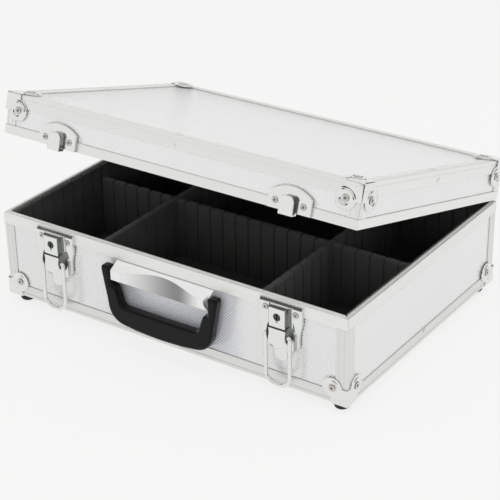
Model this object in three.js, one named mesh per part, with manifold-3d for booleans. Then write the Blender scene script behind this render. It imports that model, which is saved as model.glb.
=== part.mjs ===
// Aluminium tool organizer box: a framed case with a hinged lid, ribbed dividers, two lockable
// draw latches and a swinging carry handle, modelled with the lid part-way open.
// Units are millimetres. +X is to the right of a person facing the front, +Y runs to the back, +Z up.
// The origin is on the ground, under the middle of the object.

import * as THREE from 'three';
import { mergeVertices } from 'three/addons/utils/BufferGeometryUtils.js';
import Module from 'manifold-3d';

const wasm = await Module();
wasm.setup();

// Case
const caseWidth = 460;
const caseDepth = 330;
const baseHeight = 102.5;
const lidHeight = 46.5;
const seamGap = 0.6;
const lidOpenAngle = 16.2;

// Clearances
const fit = 0.1;
const lidFit = 0.3;
const runningGap = 0.3;

// Sheets and edge profiles
const panelThickness = 4;
const panelRecess = 1.1;
const profileLeg = 14;
const profileWall = 1;
const profileCore = 5.2;
const rimCore = 4;
const lidRimHeight = 10.5;
const tongueWidth = 2;
const tongueHeight = 1.2;
const rimGrooveWidth = 0.8;
const rimGrooveDepth = 0.7;
const tongueEndGap = 1.6;
const tongueRoom = 0.6;
const cornerRound = 2;
const grooveWidth = 0.9;
const grooveDepth = 0.4;
const grooveInner = 3.6;
const grooveOuter = 9.8;

// Rivets
const rivetHeight = 1.2;
const rivetRadius = 3.7;
const profileRivetInset = 10.4;

// Corner caps and feet
const capThickness = 1.2;
const lobeRadius = 12;
const lobeInset = 17.5;
const capWeb = 19;
const capRivetRadius = 4.2;
const footInset = 14;
const footHeight = 10;
const footTopRadius = 8.5;
const footTipRadius = 7;
const footShoulder = 2.2;

// Foam lining
const padThickness = 6;
const lidPadThickness = 5;
const lidPadMargin = 3;
const linerWeb = 2.2;
const ribHeight = 2.4;
const ribPitch = 18;
const ribGrooveFit = 0.8;
const ribGrooveTaper = 0.86;
const linerDrop = 0.8;

// Dividers
const dividerRibs = 6;
const dividerHeight = 75;
const dividerCore = 2;
const dividerWeb = 0.9;
const dividerRib = 2.1;
const crossEndGap = 20;
const longEndGap = 1.5;
const tabDrop = 3;
const tabReach = 2;
const slotShare = 0.5;

// Latches
const latchInset = 78.5;
const plateHalfWidth = 26;
const plateWaist = 22.5;
const plateFootHalf = 14;
const plateThickness = 3.8;
const plateTopDrop = 4;
const plateShoulder = 18.5;
const plateWaistDrop = 32.5;
const plateFootDrop = 45.5;
const plateHeight = 53.5;
const plateRivetX = 18.3;
const plateRivetDrop = 7.5;
const lockHalfWidth = 10.5;
const lockFlare = 1.1;
const lockToe = 4;
const lockFront = 11;
const lockRootRise = 1.6;
const lockHeight = 24;
const barrelRadius = 4.1;
const barrelDepth = 6;
const barrelProud = 0.3;
const barrelDrop = 12;
const keySlotWidth = 1.4;
const keySlotLength = 6;
const keySlotDepth = 2;
const keyNotchWidth = 2;
const keyNotchLength = 2.4;
const earThickness = 1.4;
const earMargin = 1;
const leverHalfWidth = 10.5;
const leverBead = 3;
const leverPlate = 2;
const leverLength = 18.7;
const leverLipOut = 3;
const leverBend = 8;

// Wire bails
const bailWire = 4.6;
const bailHalfWidth = 14.9;
const bailLength = 56.7;
const bailCorner = 12;
const bailAxisOut = 9.5;
const bailAxisBelowLock = 9.5;

// Lid catches
const catchThickness = 2.9;
const catchShoulder = 17.5;
const catchHeight = 27;
const catchRivetX = 17;
const catchRivetHeight = 9;
const hookHalfWidth = 8.5;
const hookFront = 9;
const hookSheet = 1.6;
const hookArch = 3;
const hookDrop = 2.5;
const hookHeight = 17.5;

// Carry handle
const bracketHalf = 65;
const bracketTopDrop = 14.9;
const bracketHeight = 25.5;
const bracketFront = 13;
const bracketNose = 11.5;
const bracketNoseDrop = 7.5;
const bracketToe = 3.5;
const scoopEndWidth = 13;
const scoopWall = 4;
const notchRadius = 4.5;
const gripPivotOut = 8.5;
const gripPivotDrop = 24.5;
const gripThickness = 12;
const gripArmTop = 12.1;
const gripWaistOut = 6;
const gripWaistDrop = 34;
const gripStepDrop = 17;
const gripStepIn = 6;
const gripInnerTaper = 5.5;
const gripInnerRound = 7;
const gripBarTop = 40;
const gripBarBottom = 63;
const gripBow = 3.5;
const gripCorner = 23;
const gripEdge = 2.8;
const pinRadius = 2.4;
const pinWall = 5;
const pinRoot = 3;

// Hinges
const hingeInset = 95;
const hingeOut = 4;
const hingeWidth = 44;
const hingeLeaf = 1.5;
const hingeLeafHeight = 24;
const knuckleRadius = 3.2;
const hingePinRadius = 1.5;
const knuckleMiddle = 18;
const hingeRivetX = 15;
const hingeRivetInset = 7;
const hingeRivetRadius = 2.6;

// Facets
const roundSegments = 24;
const rivetSegments = 14;
const barrelSegments = 24;
const scoopSteps = 9;

// Values that follow from the sizes
const halfWidth = caseWidth / 2;
const openAngle = THREE.MathUtils.degToRad(lidOpenAngle);
const seatHeight = footHeight + capThickness + fit;
const bottomTop = panelRecess + panelThickness;
const padTop = bottomTop + fit + padThickness;
const ribGroove = dividerCore + ribGrooveFit;
const linerBack = profileCore + fit;
const linerFace = linerBack + linerWeb + ribHeight;
const linerTop = baseHeight - linerDrop;
const dividerFloor = padTop + fit;
const dividerTop = dividerFloor + dividerHeight;
const dividerHalf = dividerCore / 2 + dividerWeb + dividerRib;
const hingeZ = baseHeight + seamGap / 2;
const hingeY = caseDepth + hingeOut;
const bailRadius = bailWire / 2;
const plateTop = baseHeight - plateTopDrop;
const lockBottom = plateTop - lockHeight;
const leverAxisOut = lockFront - leverBead;
const leverAxisZ = lockBottom - runningGap - leverBead;
const bailAxisZ = lockBottom - bailAxisBelowLock;
const earFront = bailAxisOut + bailRadius + runningGap + earMargin;
const gripInnerTop = bracketHalf + runningGap + fit;
const gripTopHalf = gripInnerTop + gripArmTop;
const pinEnd = gripTopHalf - pinWall;
const gripWaistHalf = bracketHalf + gripWaistOut;
const gripInnerStep = bracketHalf - gripStepIn;
const gripInnerLow = gripInnerStep - gripInnerTaper;
const scoopHalf = bracketHalf - scoopEndWidth;
const latchX = halfWidth - latchInset;
const hingeX = halfWidth - hingeInset;
const dividerX = dividerRibs * ribPitch;
const gripPivotZ = baseHeight - gripPivotDrop;
const capOut = capThickness + fit;
const lidCapOut = capThickness + lidFit;

// The object is centred front to back between the grip's face and the raised lid's rear corner
const frontReach = gripPivotOut + gripThickness / 2;
const lidCornerBack = lidCapOut - hingeOut;
const lidCornerUp = seamGap / 2 + lidHeight + lidCapOut;
const rearReach = hingeOut + lidCornerBack * Math.cos(openAngle) + lidCornerUp * Math.sin(openAngle);
const frontY = (frontReach - caseDepth - rearReach) / 2;

// Materials
function finish(color, roughness, metalness) {
  return new THREE.MeshStandardMaterial({ color, roughness, metalness });
}
const anodised = finish(0xdcdcd8, 0.35, 0.9);
const embossed = finish(0xe2e1e4, 0.4, 0.7);
const chrome = finish(0xd6d8da, 0.12, 1);
const darkSteel = finish(0x6c6c6c, 0.4, 0.8);
const castMetal = finish(0xd0d0ce, 0.3, 0.9);
const blackPlastic = finish(0x222220, 0.45, 0);
const rubber = finish(0x151515, 0.8, 0);
const foam = finish(0x2c2c2c, 0.9, 0);

// Solid helpers
const basisX = new THREE.Matrix4().makeBasis(
  new THREE.Vector3(0, 1, 0), new THREE.Vector3(0, 0, 1), new THREE.Vector3(1, 0, 0));
const basisY = new THREE.Matrix4().makeBasis(
  new THREE.Vector3(0, 0, 1), new THREE.Vector3(1, 0, 0), new THREE.Vector3(0, 1, 0));

function solid(geometry) {
  const bare = geometry.clone();
  bare.deleteAttribute('normal');
  bare.deleteAttribute('uv');
  const merged = mergeVertices(bare, 1e-4);
  return new wasm.Manifold(new wasm.Mesh({
    numProp: 3,
    vertProperties: new Float32Array(merged.attributes.position.array),
    triVerts: new Uint32Array(merged.index.array),
  }));
}

function geometryOf(body) {
  const mesh = body.getMesh();
  const geometry = new THREE.BufferGeometry();
  geometry.setAttribute('position', new THREE.BufferAttribute(new Float32Array(mesh.vertProperties), 3));
  geometry.setIndex(new THREE.BufferAttribute(new Uint32Array(mesh.triVerts), 1));
  const flat = geometry.toNonIndexed();
  flat.computeVertexNormals();
  return flat;
}

function unite(bodies) {
  return bodies.reduce((whole, body) => whole.add(body));
}

// A box between two corners, given as ranges along each axis in either order
function block(x, y, z) {
  const size = [x, y, z].map((range) => Math.abs(range[1] - range[0]));
  const middle = [x, y, z].map((range) => (range[0] + range[1]) / 2);
  return new THREE.BoxGeometry(...size).translate(...middle);
}

function prism(points, range, basis) {
  const outline = new THREE.Shape(points.map(([a, b]) => new THREE.Vector2(a, b)));
  const from = Math.min(...range);
  const depth = Math.abs(range[1] - range[0]);
  const geometry = new THREE.ExtrudeGeometry(outline, { depth, bevelEnabled: false, curveSegments: 1 });
  geometry.translate(0, 0, from);
  return basis ? geometry.applyMatrix4(basis) : geometry;
}

// Prisms along each axis: points are (y, z), (x, z) and (x, y)
function prismX(points, range) {
  return prism(points, range, basisX);
}

function prismY(points, range) {
  return prism(points.map(([x, z]) => [z, x]), range, basisY);
}

function prismZ(points, range) {
  return prism(points, range);
}

function arc(centreA, centreB, radius, start, end, steps) {
  return Array.from({ length: steps + 1 }, (_, i) => {
    const angle = THREE.MathUtils.degToRad(start + ((end - start) * i) / steps);
    return [centreA + radius * Math.cos(angle), centreB + radius * Math.sin(angle)];
  });
}

function circle(centreA, centreB, radius, segments = roundSegments) {
  return arc(centreA, centreB, radius, 0, 360, segments).slice(0, -1);
}

// A domed rivet head that stands on a face whose outward direction is given
function rivetHead(centre, outward, radius = rivetRadius) {
  const sink = rivetHeight / 2;
  const profile = [
    [0, -sink], [radius, -sink], [radius, rivetHeight * 0.35],
    [radius * 0.72, rivetHeight * 0.85], [0, rivetHeight],
  ].map(([r, h]) => new THREE.Vector2(r, h));
  const head = new THREE.LatheGeometry(profile, rivetSegments);
  const turn = new THREE.Quaternion().setFromUnitVectors(
    new THREE.Vector3(0, 1, 0), new THREE.Vector3(...outward));
  head.applyQuaternion(turn).translate(...centre);
  return solid(head);
}

const model = new THREE.Group();
const base = new THREE.Group();
base.position.set(0, frontY, seatHeight);
model.add(base);
const lid = new THREE.Group();
lid.position.set(0, hingeY, hingeZ);
lid.rotation.x = -openAngle;
base.add(lid);

function place(group, name, geometry, material) {
  const mesh = new THREE.Mesh(geometry, material);
  mesh.name = name;
  group.add(mesh);
}

function placeSolid(group, name, body, material) {
  place(group, name, geometryOf(body), material);
}

// Base panels: embossed sheet on board, held behind the legs of the edge profiles
function basePanels() {
  const outer = panelRecess;
  const inner = panelRecess + panelThickness;
  const endX = halfWidth - profileCore - fit;
  const endY = profileCore + fit;
  const z = [profileCore + fit, baseHeight - rimCore - fit];
  const y = [endY, caseDepth - endY];
  place(base, 'front_panel', block([-endX, endX], [outer, inner], z), embossed);
  place(base, 'rear_panel', block([-endX, endX], [caseDepth - inner, caseDepth - outer], z), embossed);
  place(base, 'left_panel', block([-halfWidth + outer, -halfWidth + inner], y, z), embossed);
  place(base, 'right_panel', block([halfWidth - inner, halfWidth - outer], y, z), embossed);
  place(base, 'bottom_panel', block([-endX, endX], y, [outer, inner]), embossed);
}

// A rectangular ring in plan, between an outer and an inner inset, over a height range
function ring(outerInset, innerInset, z) {
  const outer = block([-halfWidth + outerInset, halfWidth - outerInset],
    [outerInset, caseDepth - outerInset], z);
  const middle = (z[0] + z[1]) / 2;
  const reach = Math.abs(z[1] - z[0]);
  const inner = block([-halfWidth + innerInset, halfWidth - innerInset],
    [innerInset, caseDepth - innerInset], [middle - reach, middle + reach]);
  return solid(outer).subtract(solid(inner));
}

// The four mitred lengths of the top rim: skirt, core and the tongue that locates the lid
function baseRim() {
  const skirt = ring(0, profileWall, [baseHeight - profileLeg, baseHeight - rimCore]);
  const core = ring(0, profileCore, [baseHeight - rimCore, baseHeight]);
  const tongueOuter = profileCore - tongueWidth;
  const tongue = ring(tongueOuter, profileCore, [baseHeight - 1, baseHeight + tongueHeight]);
  const corner = tongueOuter + tongueWidth + tongueEndGap;
  const notches = [-1, 1].flatMap((side) => [0, caseDepth].map((y) => {
    const x = side * halfWidth;
    const inY = y === 0 ? corner : caseDepth - corner;
    return solid(block([x, x - side * corner], [y, inY], [baseHeight, baseHeight + 2 * tongueHeight]));
  }));
  const groove = ring(tongueOuter - rimGrooveWidth, tongueOuter,
    [baseHeight - rimGrooveDepth, baseHeight + 1]);
  const rim = unite([skirt, core]).subtract(groove).add(tongue).subtract(unite(notches));
  const z = [baseHeight - 2 * profileLeg, baseHeight + 2 * tongueHeight];
  const deep = caseDepth / 2;
  const frontWedge = [[-halfWidth + fit, 0], [halfWidth - fit, 0],
    [halfWidth - deep, deep - fit], [-halfWidth + deep, deep - fit]];
  const sideWedge = (side) => [[side * halfWidth, fit], [side * halfWidth, caseDepth - fit],
    [side * (halfWidth - deep + fit), deep]];
  const rearWedge = frontWedge.map(([x, y]) => [x, caseDepth - y]);
  const cut = (wedge) => rim.intersect(solid(prismZ(wedge, z)));
  placeSolid(base, 'rim_front', cut(frontWedge), anodised);
  placeSolid(base, 'rim_rear', cut(rearWedge), anodised);
  placeSolid(base, 'rim_left', cut(sideWedge(-1)), anodised);
  placeSolid(base, 'rim_right', cut(sideWedge(1)), anodised);
}

// An edge frame with one leg up the sides and one leg across the face, as for the base's bottom,
// and a fine groove beside the edge on both of its faces
function edgeFrame() {
  const side = ring(0, profileWall, [profileCore - 1, profileLeg]);
  const core = ring(0, profileCore, [0, profileCore]);
  const face = ring(0, profileLeg, [0, profileWall]);
  const grooveEnd = grooveInner + grooveWidth;
  const sideGroove = ring(-1, grooveDepth, [grooveInner, grooveEnd]);
  const faceGroove = ring(grooveInner, grooveEnd, [-1, grooveDepth]);
  return unite([side, core, face]).subtract(unite([sideGroove, faceGroove]));
}

// Rivets at the middle of each length of an edge frame, on its side leg and on its face leg
function edgeRivets(sideHeight, faceHeight, faceDirection) {
  const middle = caseDepth / 2;
  const inset = profileRivetInset;
  return [
    rivetHead([0, 0, sideHeight], [0, -1, 0]),
    rivetHead([0, caseDepth, sideHeight], [0, 1, 0]),
    rivetHead([-halfWidth, middle, sideHeight], [-1, 0, 0]),
    rivetHead([halfWidth, middle, sideHeight], [1, 0, 0]),
    rivetHead([0, inset, faceHeight], [0, 0, faceDirection]),
    rivetHead([0, caseDepth - inset, faceHeight], [0, 0, faceDirection]),
    rivetHead([-halfWidth + inset, middle, faceHeight], [0, 0, faceDirection]),
    rivetHead([halfWidth - inset, middle, faceHeight], [0, 0, faceDirection]),
  ];
}

// The outline of a corner post in plan: two grooved legs round a square core
function postOutline(cornerX, cornerY, inX, inY) {
  const leg = [];
  for (const start of [grooveInner, grooveOuter]) {
    leg.push([start, 0], [start + grooveWidth * 0.25, grooveDepth]);
    leg.push([start + grooveWidth * 0.75, grooveDepth], [start + grooveWidth, 0]);
  }
  const legEnd = [[profileLeg, 0], [profileLeg, profileWall], [profileCore, profileWall]];
  const onX = [...leg, ...legEnd];
  const onY = onX.map(([a, b]) => [b, a]).reverse();
  const round = arc(cornerRound, cornerRound, cornerRound, 180, 270, 4);
  const outline = [...round, ...onX, [profileCore, profileCore], ...onY];
  return outline.map(([a, b]) => [cornerX + inX * a, cornerY + inY * b]);
}

const corners = [
  { name: 'front_left', x: -1, y: 0 },
  { name: 'front_right', x: 1, y: 0 },
  { name: 'rear_left', x: -1, y: 1 },
  { name: 'rear_right', x: 1, y: 1 },
].map((corner) => ({
  ...corner,
  atX: corner.x * halfWidth,
  atY: corner.y * caseDepth,
  inX: -corner.x,
  inY: corner.y === 0 ? 1 : -1,
}));

function cornerPosts() {
  const z = [profileLeg + fit, baseHeight - profileLeg - fit];
  for (const corner of corners) {
    const outline = postOutline(corner.atX, corner.atY, corner.inX, corner.inY);
    place(base, `post_${corner.name}`, prismZ(outline, z), anodised);
  }
}

// One face of a corner cap: a round lobe joined to a square web, in inward coordinates
function capFace(gap) {
  const low = -capThickness - gap;
  const web = solid(prismZ([[low, low], [capWeb, low], [capWeb, capWeb], [low, capWeb]],
    [low, -gap]));
  const lobe = solid(prismZ(circle(lobeInset, lobeInset, lobeRadius, 28), [low, -gap]));
  return geometryOf(web.add(lobe));
}

// A pressed corner cap with three lobes. Inward coordinates are turned to the corner's own
function cornerCap(corner, cornerZ, inZ, gap, rivetFaces) {
  const origin = [corner.atX, corner.atY, cornerZ];
  const inward = [corner.inX, corner.inY, inZ];
  const face = capFace(gap);
  const point = (axis, a, b, c) => {
    const local = axis === 'z' ? [a, b, c] : axis === 'y' ? [a, c, b] : [c, a, b];
    return local.map((value, i) => origin[i] + inward[i] * value);
  };
  const plates = ['x', 'y', 'z'].map((axis) => {
    const plate = face.clone();
    const position = plate.attributes.position;
    for (let i = 0; i < position.count; i += 1) {
      const moved = point(axis, position.getX(i), position.getY(i), position.getZ(i));
      position.setXYZ(i, ...moved);
    }
    const turned = inward[0] * inward[1] * inward[2] < 0;
    const swapped = axis === 'y';
    return solid(turned !== swapped ? reversed(plate) : plate);
  });
  const low = -capThickness - gap;
  const rivets = rivetFaces.map((axis) => {
    const outward = ['x', 'y', 'z'].map((name, i) => (name === axis ? -inward[i] : 0));
    return rivetHead(point(axis, lobeInset, lobeInset, low), outward, capRivetRadius);
  });
  return unite([...plates, ...rivets]);
}

function reversed(geometry) {
  const position = geometry.attributes.position;
  const flipped = new Float32Array(position.array.length);
  for (let i = 0; i < position.count; i += 3) {
    [0, 2, 1].forEach((from, to) => {
      flipped.set([position.getX(i + from), position.getY(i + from), position.getZ(i + from)],
        (i + to) * 3);
    });
  }
  const result = new THREE.BufferGeometry();
  result.setAttribute('position', new THREE.BufferAttribute(flipped, 3));
  return result;
}

function baseCapsAndFeet() {
  for (const corner of corners) {
    const cap = cornerCap(corner, 0, 1, fit, ['x', 'y']);
    placeSolid(base, `cap_${corner.name}`, cap, chrome);
    const profile = [
      [0, 0], [footTipRadius, 0], [footTopRadius - 1, footShoulder],
      [footTopRadius, footHeight - fit], [0, footHeight - fit],
    ].map(([r, h]) => new THREE.Vector2(r, h));
    const foot = new THREE.LatheGeometry(profile, roundSegments);
    foot.rotateX(Math.PI / 2);
    foot.translate(corner.atX + corner.inX * footInset, corner.atY + corner.inY * footInset,
      -capOut - footHeight);
    place(base, `foot_${corner.name}`, foot, rubber);
  }
}

// The ribbed side of a foam sheet: points (along, height) from start to end, with a groove
// at every pitch from the given centre
function ribbedEdge(start, end, centre, web, rib) {
  const edge = [];
  const first = Math.ceil((start + ribGroove - centre) / ribPitch);
  const last = Math.floor((end - ribGroove - centre) / ribPitch);
  edge.push([start, web + rib]);
  for (let i = first; i <= last; i += 1) {
    const at = centre + i * ribPitch;
    const half = ribGroove / 2;
    const foot = half * ribGrooveTaper;
    edge.push([at - half, web + rib], [at - foot, web], [at + foot, web], [at + half, web + rib]);
  }
  edge.push([end, web + rib]);
  return edge;
}

function foamLining() {
  const padX = halfWidth - linerBack;
  const padY = [linerBack, caseDepth - linerBack];
  place(base, 'floor_pad', block([-padX, padX], padY, [bottomTop + fit, padTop]), foam);
  const z = [padTop + fit, linerTop];
  const long = ribbedEdge(-padX, padX, 0, linerWeb, ribHeight);
  const longOutline = [[-padX, 0], ...long, [padX, 0]];
  place(base, 'liner_front', prismZ(longOutline.map(([a, b]) => [a, linerBack + b]), z), foam);
  place(base, 'liner_rear',
    prismZ(longOutline.map(([a, b]) => [a, caseDepth - linerBack - b]), z), foam);
  const sideStart = linerFace + fit;
  const sideEnd = caseDepth - sideStart;
  const short = ribbedEdge(sideStart, sideEnd, caseDepth / 2, linerWeb, ribHeight);
  const shortOutline = [[sideStart, 0], ...short, [sideEnd, 0]];
  place(base, 'liner_left',
    prismZ(shortOutline.map(([a, b]) => [-halfWidth + linerBack + b, a]), z), foam);
  place(base, 'liner_right',
    prismZ(shortOutline.map(([a, b]) => [halfWidth - linerBack - b, a]), z), foam);
}

// A divider in plan, along its length from its own middle: ribbed foam on both sides of a
// core whose bare ends reach into the grooves of the liners
function dividerOutline(end, reach) {
  const side = ribbedEdge(-end, end, -end, dividerCore / 2 + dividerWeb, dividerRib);
  const core = dividerCore / 2;
  const other = side.map(([a, b]) => [a, -b]).reverse();
  return [
    [-reach, core], [-end, core], ...side, [end, core], [reach, core],
    [reach, -core], [end, -core], ...other, [-end, -core], [-reach, -core],
  ];
}

// Half the length of a divider's foam: as many whole ribs as there is room for
function foamEnd(room, gap) {
  return (Math.floor((2 * (room - gap)) / ribPitch) * ribPitch) / 2;
}

// The bare core is cut lower than the foam beside it
function tabTrims(end, reach, z, place3) {
  return [-1, 1].map((side) => solid(place3(
    [side * end, side * (reach + 1)], [-dividerHalf - 1, dividerHalf + 1], z)));
}

function dividers() {
  const z = [dividerFloor, dividerTop];
  const middleY = caseDepth / 2;
  const slotHalf = dividerHalf + runningGap;
  const slotZ = dividerFloor + dividerHeight * slotShare;
  const trimZ = [dividerTop - tabDrop, dividerTop + 1];
  const crossReach = halfWidth - linerFace + tabReach;
  const crossEnd = foamEnd(halfWidth - linerFace, crossEndGap);
  const cross = solid(prismZ(
    dividerOutline(crossEnd, crossReach).map(([a, b]) => [a, middleY + b]), z));
  const crossSlots = [-1, 1].map((side) => {
    const x = side * dividerX;
    return solid(block([x - slotHalf, x + slotHalf],
      [middleY - dividerHalf - 1, middleY + dividerHalf + 1], [slotZ, dividerTop + 1]));
  });
  const crossTrims = tabTrims(crossEnd, crossReach, trimZ,
    (a, b, c) => block(a, b.map((value) => middleY + value), c));
  placeSolid(base, 'divider_cross', cross.subtract(unite([...crossSlots, ...crossTrims])), foam);
  const longReach = middleY - linerFace + tabReach;
  const longEnd = foamEnd(middleY - linerFace, longEndGap);
  for (const [name, side] of [['divider_left', -1], ['divider_right', 1]]) {
    const x = side * dividerX;
    const outline = dividerOutline(longEnd, longReach);
    const body = solid(prismZ(outline.map(([a, b]) => [x + b, middleY + a]), z));
    const slot = solid(block([x - dividerHalf - 1, x + dividerHalf + 1],
      [middleY - slotHalf, middleY + slotHalf], [dividerFloor - 1, slotZ + runningGap]));
    const trims = tabTrims(longEnd, longReach, trimZ,
      (a, b, c) => block(b.map((value) => x + value), a.map((value) => middleY + value), c));
    placeSolid(base, name, body.subtract(unite([slot, ...trims])), foam);
  }
}

// Latch plate: a pressed plate with its lock housing and two ears, all in one. Out is towards
// the front, so a point that stands out by a distance has that distance as a negative y
function latchPlate(x) {
  const back = -fit;
  const face = back - plateThickness;
  const at = (drop) => plateTop - drop;
  const half = [
    [plateHalfWidth, at(0)], [plateHalfWidth, at(plateShoulder)], [plateWaist, at(plateWaistDrop)],
    [plateWaist, at(plateFootDrop)], [plateFootHalf, at(plateHeight)],
  ];
  const mirror = half.map(([a, b]) => [-a, b]).reverse();
  const plate = solid(prismY([...half, ...mirror].map(([a, b]) => [x + a, b]), [back, face]));
  const toe = lockHalfWidth + lockToe;
  const root = lockHalfWidth + lockFlare;
  const housing = solid(prismZ([
    [x - toe, face + 1], [x - toe, face], [x - root, face - lockRootRise],
    [x - lockHalfWidth, -lockFront], [x + lockHalfWidth, -lockFront],
    [x + root, face - lockRootRise], [x + toe, face], [x + toe, face + 1],
  ], [lockBottom, plateTop]));
  const barrelZ = plateTop - barrelDrop;
  const boreEnd = -lockFront + barrelDepth + runningGap;
  const bore = solid(prismY(circle(x, barrelZ, barrelRadius + runningGap, barrelSegments),
    [-lockFront - 1, boreEnd]));
  const notchEnd = barrelZ - barrelRadius - runningGap - keyNotchLength;
  const notch = solid(block([x - keyNotchWidth / 2, x + keyNotchWidth / 2],
    [-lockFront - 1, -lockFront + keySlotDepth], [notchEnd, barrelZ]));
  const earIn = leverHalfWidth + runningGap;
  const earLow = at(plateFootDrop);
  const ears = [-1, 1].map((side) => {
    const range = [x + side * earIn, x + side * (earIn + earThickness)];
    const ear = solid(prismX([
      [face + 1, lockBottom + 1], [-lockFront + 1, lockBottom + 1], [-lockFront, lockBottom - 1],
      [-earFront, bailAxisZ + bailWire], [-earFront, bailAxisZ - bailWire],
      [face - 1, earLow], [face + 1, earLow],
    ], range));
    const hole = solid(prismX(circle(-bailAxisOut, bailAxisZ, bailRadius + runningGap, 16),
      [x, x + side * 2 * plateWaist]));
    return ear.subtract(hole);
  });
  const rivets = [-1, 1].map((side) => (
    rivetHead([x + side * plateRivetX, face, plateTop - plateRivetDrop], [0, -1, 0])));
  return unite([plate, housing, ...ears, ...rivets]).subtract(unite([bore, notch]));
}

// Lever: a round bead on its axis, a flat plate down the front and a lip to lift it by
function latchLever(x) {
  const front = -leverAxisOut - leverBead;
  const bead = arc(-leverAxisOut, leverAxisZ, leverBead, 180, -60, 10);
  const back = front + leverPlate;
  const bendZ = leverAxisZ - leverLength + leverBend;
  const tipZ = leverAxisZ - leverLength;
  const outline = [
    ...bead,
    [back, leverAxisZ - leverBead - 1], [back, bendZ],
    [back - leverLipOut, tipZ], [front - leverLipOut, tipZ], [front - 0.4, bendZ],
  ];
  return prismX(outline, [x - leverHalfWidth, x + leverHalfWidth]);
}

// Bail: a wire loop whose ends turn inward into the ears, hanging straight down
function latchBail(x) {
  const y = -bailAxisOut;
  const lowZ = bailAxisZ - bailLength - bailRadius;
  const kink = bailCorner * (1 - Math.SQRT1_2);
  const straight = [bailAxisZ, bailAxisZ - bailLength * 0.35, lowZ + bailCorner * 1.6,
    lowZ + bailCorner];
  const left = straight.map((z) => [-bailHalfWidth, z]);
  const turn = [[-bailHalfWidth + kink, lowZ + kink], [-bailHalfWidth + bailCorner, lowZ]];
  const half = [...left, ...turn];
  const whole = [...half, ...half.map(([a, z]) => [-a, z]).reverse()];
  const path = new THREE.CatmullRomCurve3(
    whole.map(([a, z]) => new THREE.Vector3(x + a, y, z)), false, 'centripetal');
  const section = new THREE.Shape(circle(0, 0, bailRadius, 8).map(([a, b]) => new THREE.Vector2(a, b)));
  const loop = solid(new THREE.ExtrudeGeometry(section, { steps: 44, extrudePath: path, curveSegments: 1 }));
  const stubEnd = leverHalfWidth + runningGap + 0.2;
  const stubs = [-1, 1].flatMap((side) => [
    solid(prismX(circle(y, bailAxisZ, bailRadius, 12),
      [x + side * stubEnd, x + side * bailHalfWidth])),
    solid(new THREE.SphereGeometry(bailRadius, 12, 8)
      .translate(x + side * bailHalfWidth, y, bailAxisZ)),
  ]);
  return unite([loop, ...stubs]);
}

// Lock barrel with a key slot in its face
function lockBarrel(x) {
  const z = plateTop - barrelDrop;
  const front = -lockFront - barrelProud;
  const body = solid(prismY(circle(x, z, barrelRadius, barrelSegments),
    [front, -lockFront + barrelDepth]));
  const slot = solid(block([x - keySlotWidth / 2, x + keySlotWidth / 2],
    [front - 1, front + keySlotDepth], [z - keySlotLength / 2, z + keySlotLength / 2]));
  return body.subtract(slot);
}

function latches() {
  for (const [name, side] of [['left', -1], ['right', 1]]) {
    const x = side * latchX;
    placeSolid(base, `latch_plate_${name}`, latchPlate(x), chrome);
    place(base, `latch_lever_${name}`, latchLever(x), chrome);
    placeSolid(base, `latch_bail_${name}`, latchBail(x), chrome);
    placeSolid(base, `lock_barrel_${name}`, lockBarrel(x), darkSteel);
  }
}

// Handle bracket: a cast bar on the front panel, scooped for the fingers, with its pivot pins
function handleBracket() {
  const back = panelRecess - fit;
  const top = baseHeight - bracketTopDrop;
  const bottom = top - bracketHeight;
  const bar = solid(prismX([
    [back, bottom], [back, top], [0, top], [-bracketFront, top - bracketNoseDrop],
    [-bracketFront, top - bracketNoseDrop - bracketNose], [-bracketToe, bottom],
  ], [-bracketHalf, bracketHalf]));
  const scoopArc = Array.from({ length: 2 * scoopSteps + 1 }, (_, i) => {
    const t = i / scoopSteps - 1;
    return [scoopHalf * t, -scoopWall - (bracketFront - scoopWall) * t * t];
  });
  const scoop = solid(prismZ([
    ...scoopArc, [scoopHalf, -bracketFront - 1], [-scoopHalf, -bracketFront - 1],
  ], [bottom - 1, top + 1]));
  const noseZ = top - bracketNoseDrop - bracketNose / 2;
  const notch = solid(prismY(
    circle(bracketHalf + 1, noseZ, notchRadius, 16), [-gripPivotOut - 1, -bracketFront - 1]));
  const pins = [-1, 1].map((side) => solid(prismX(
    circle(-gripPivotOut, gripPivotZ, pinRadius, 16),
    [side * (bracketHalf - pinRoot), side * pinEnd])));
  return bar.subtract(unite([scoop, notch])).add(unite(pins));
}

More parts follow.
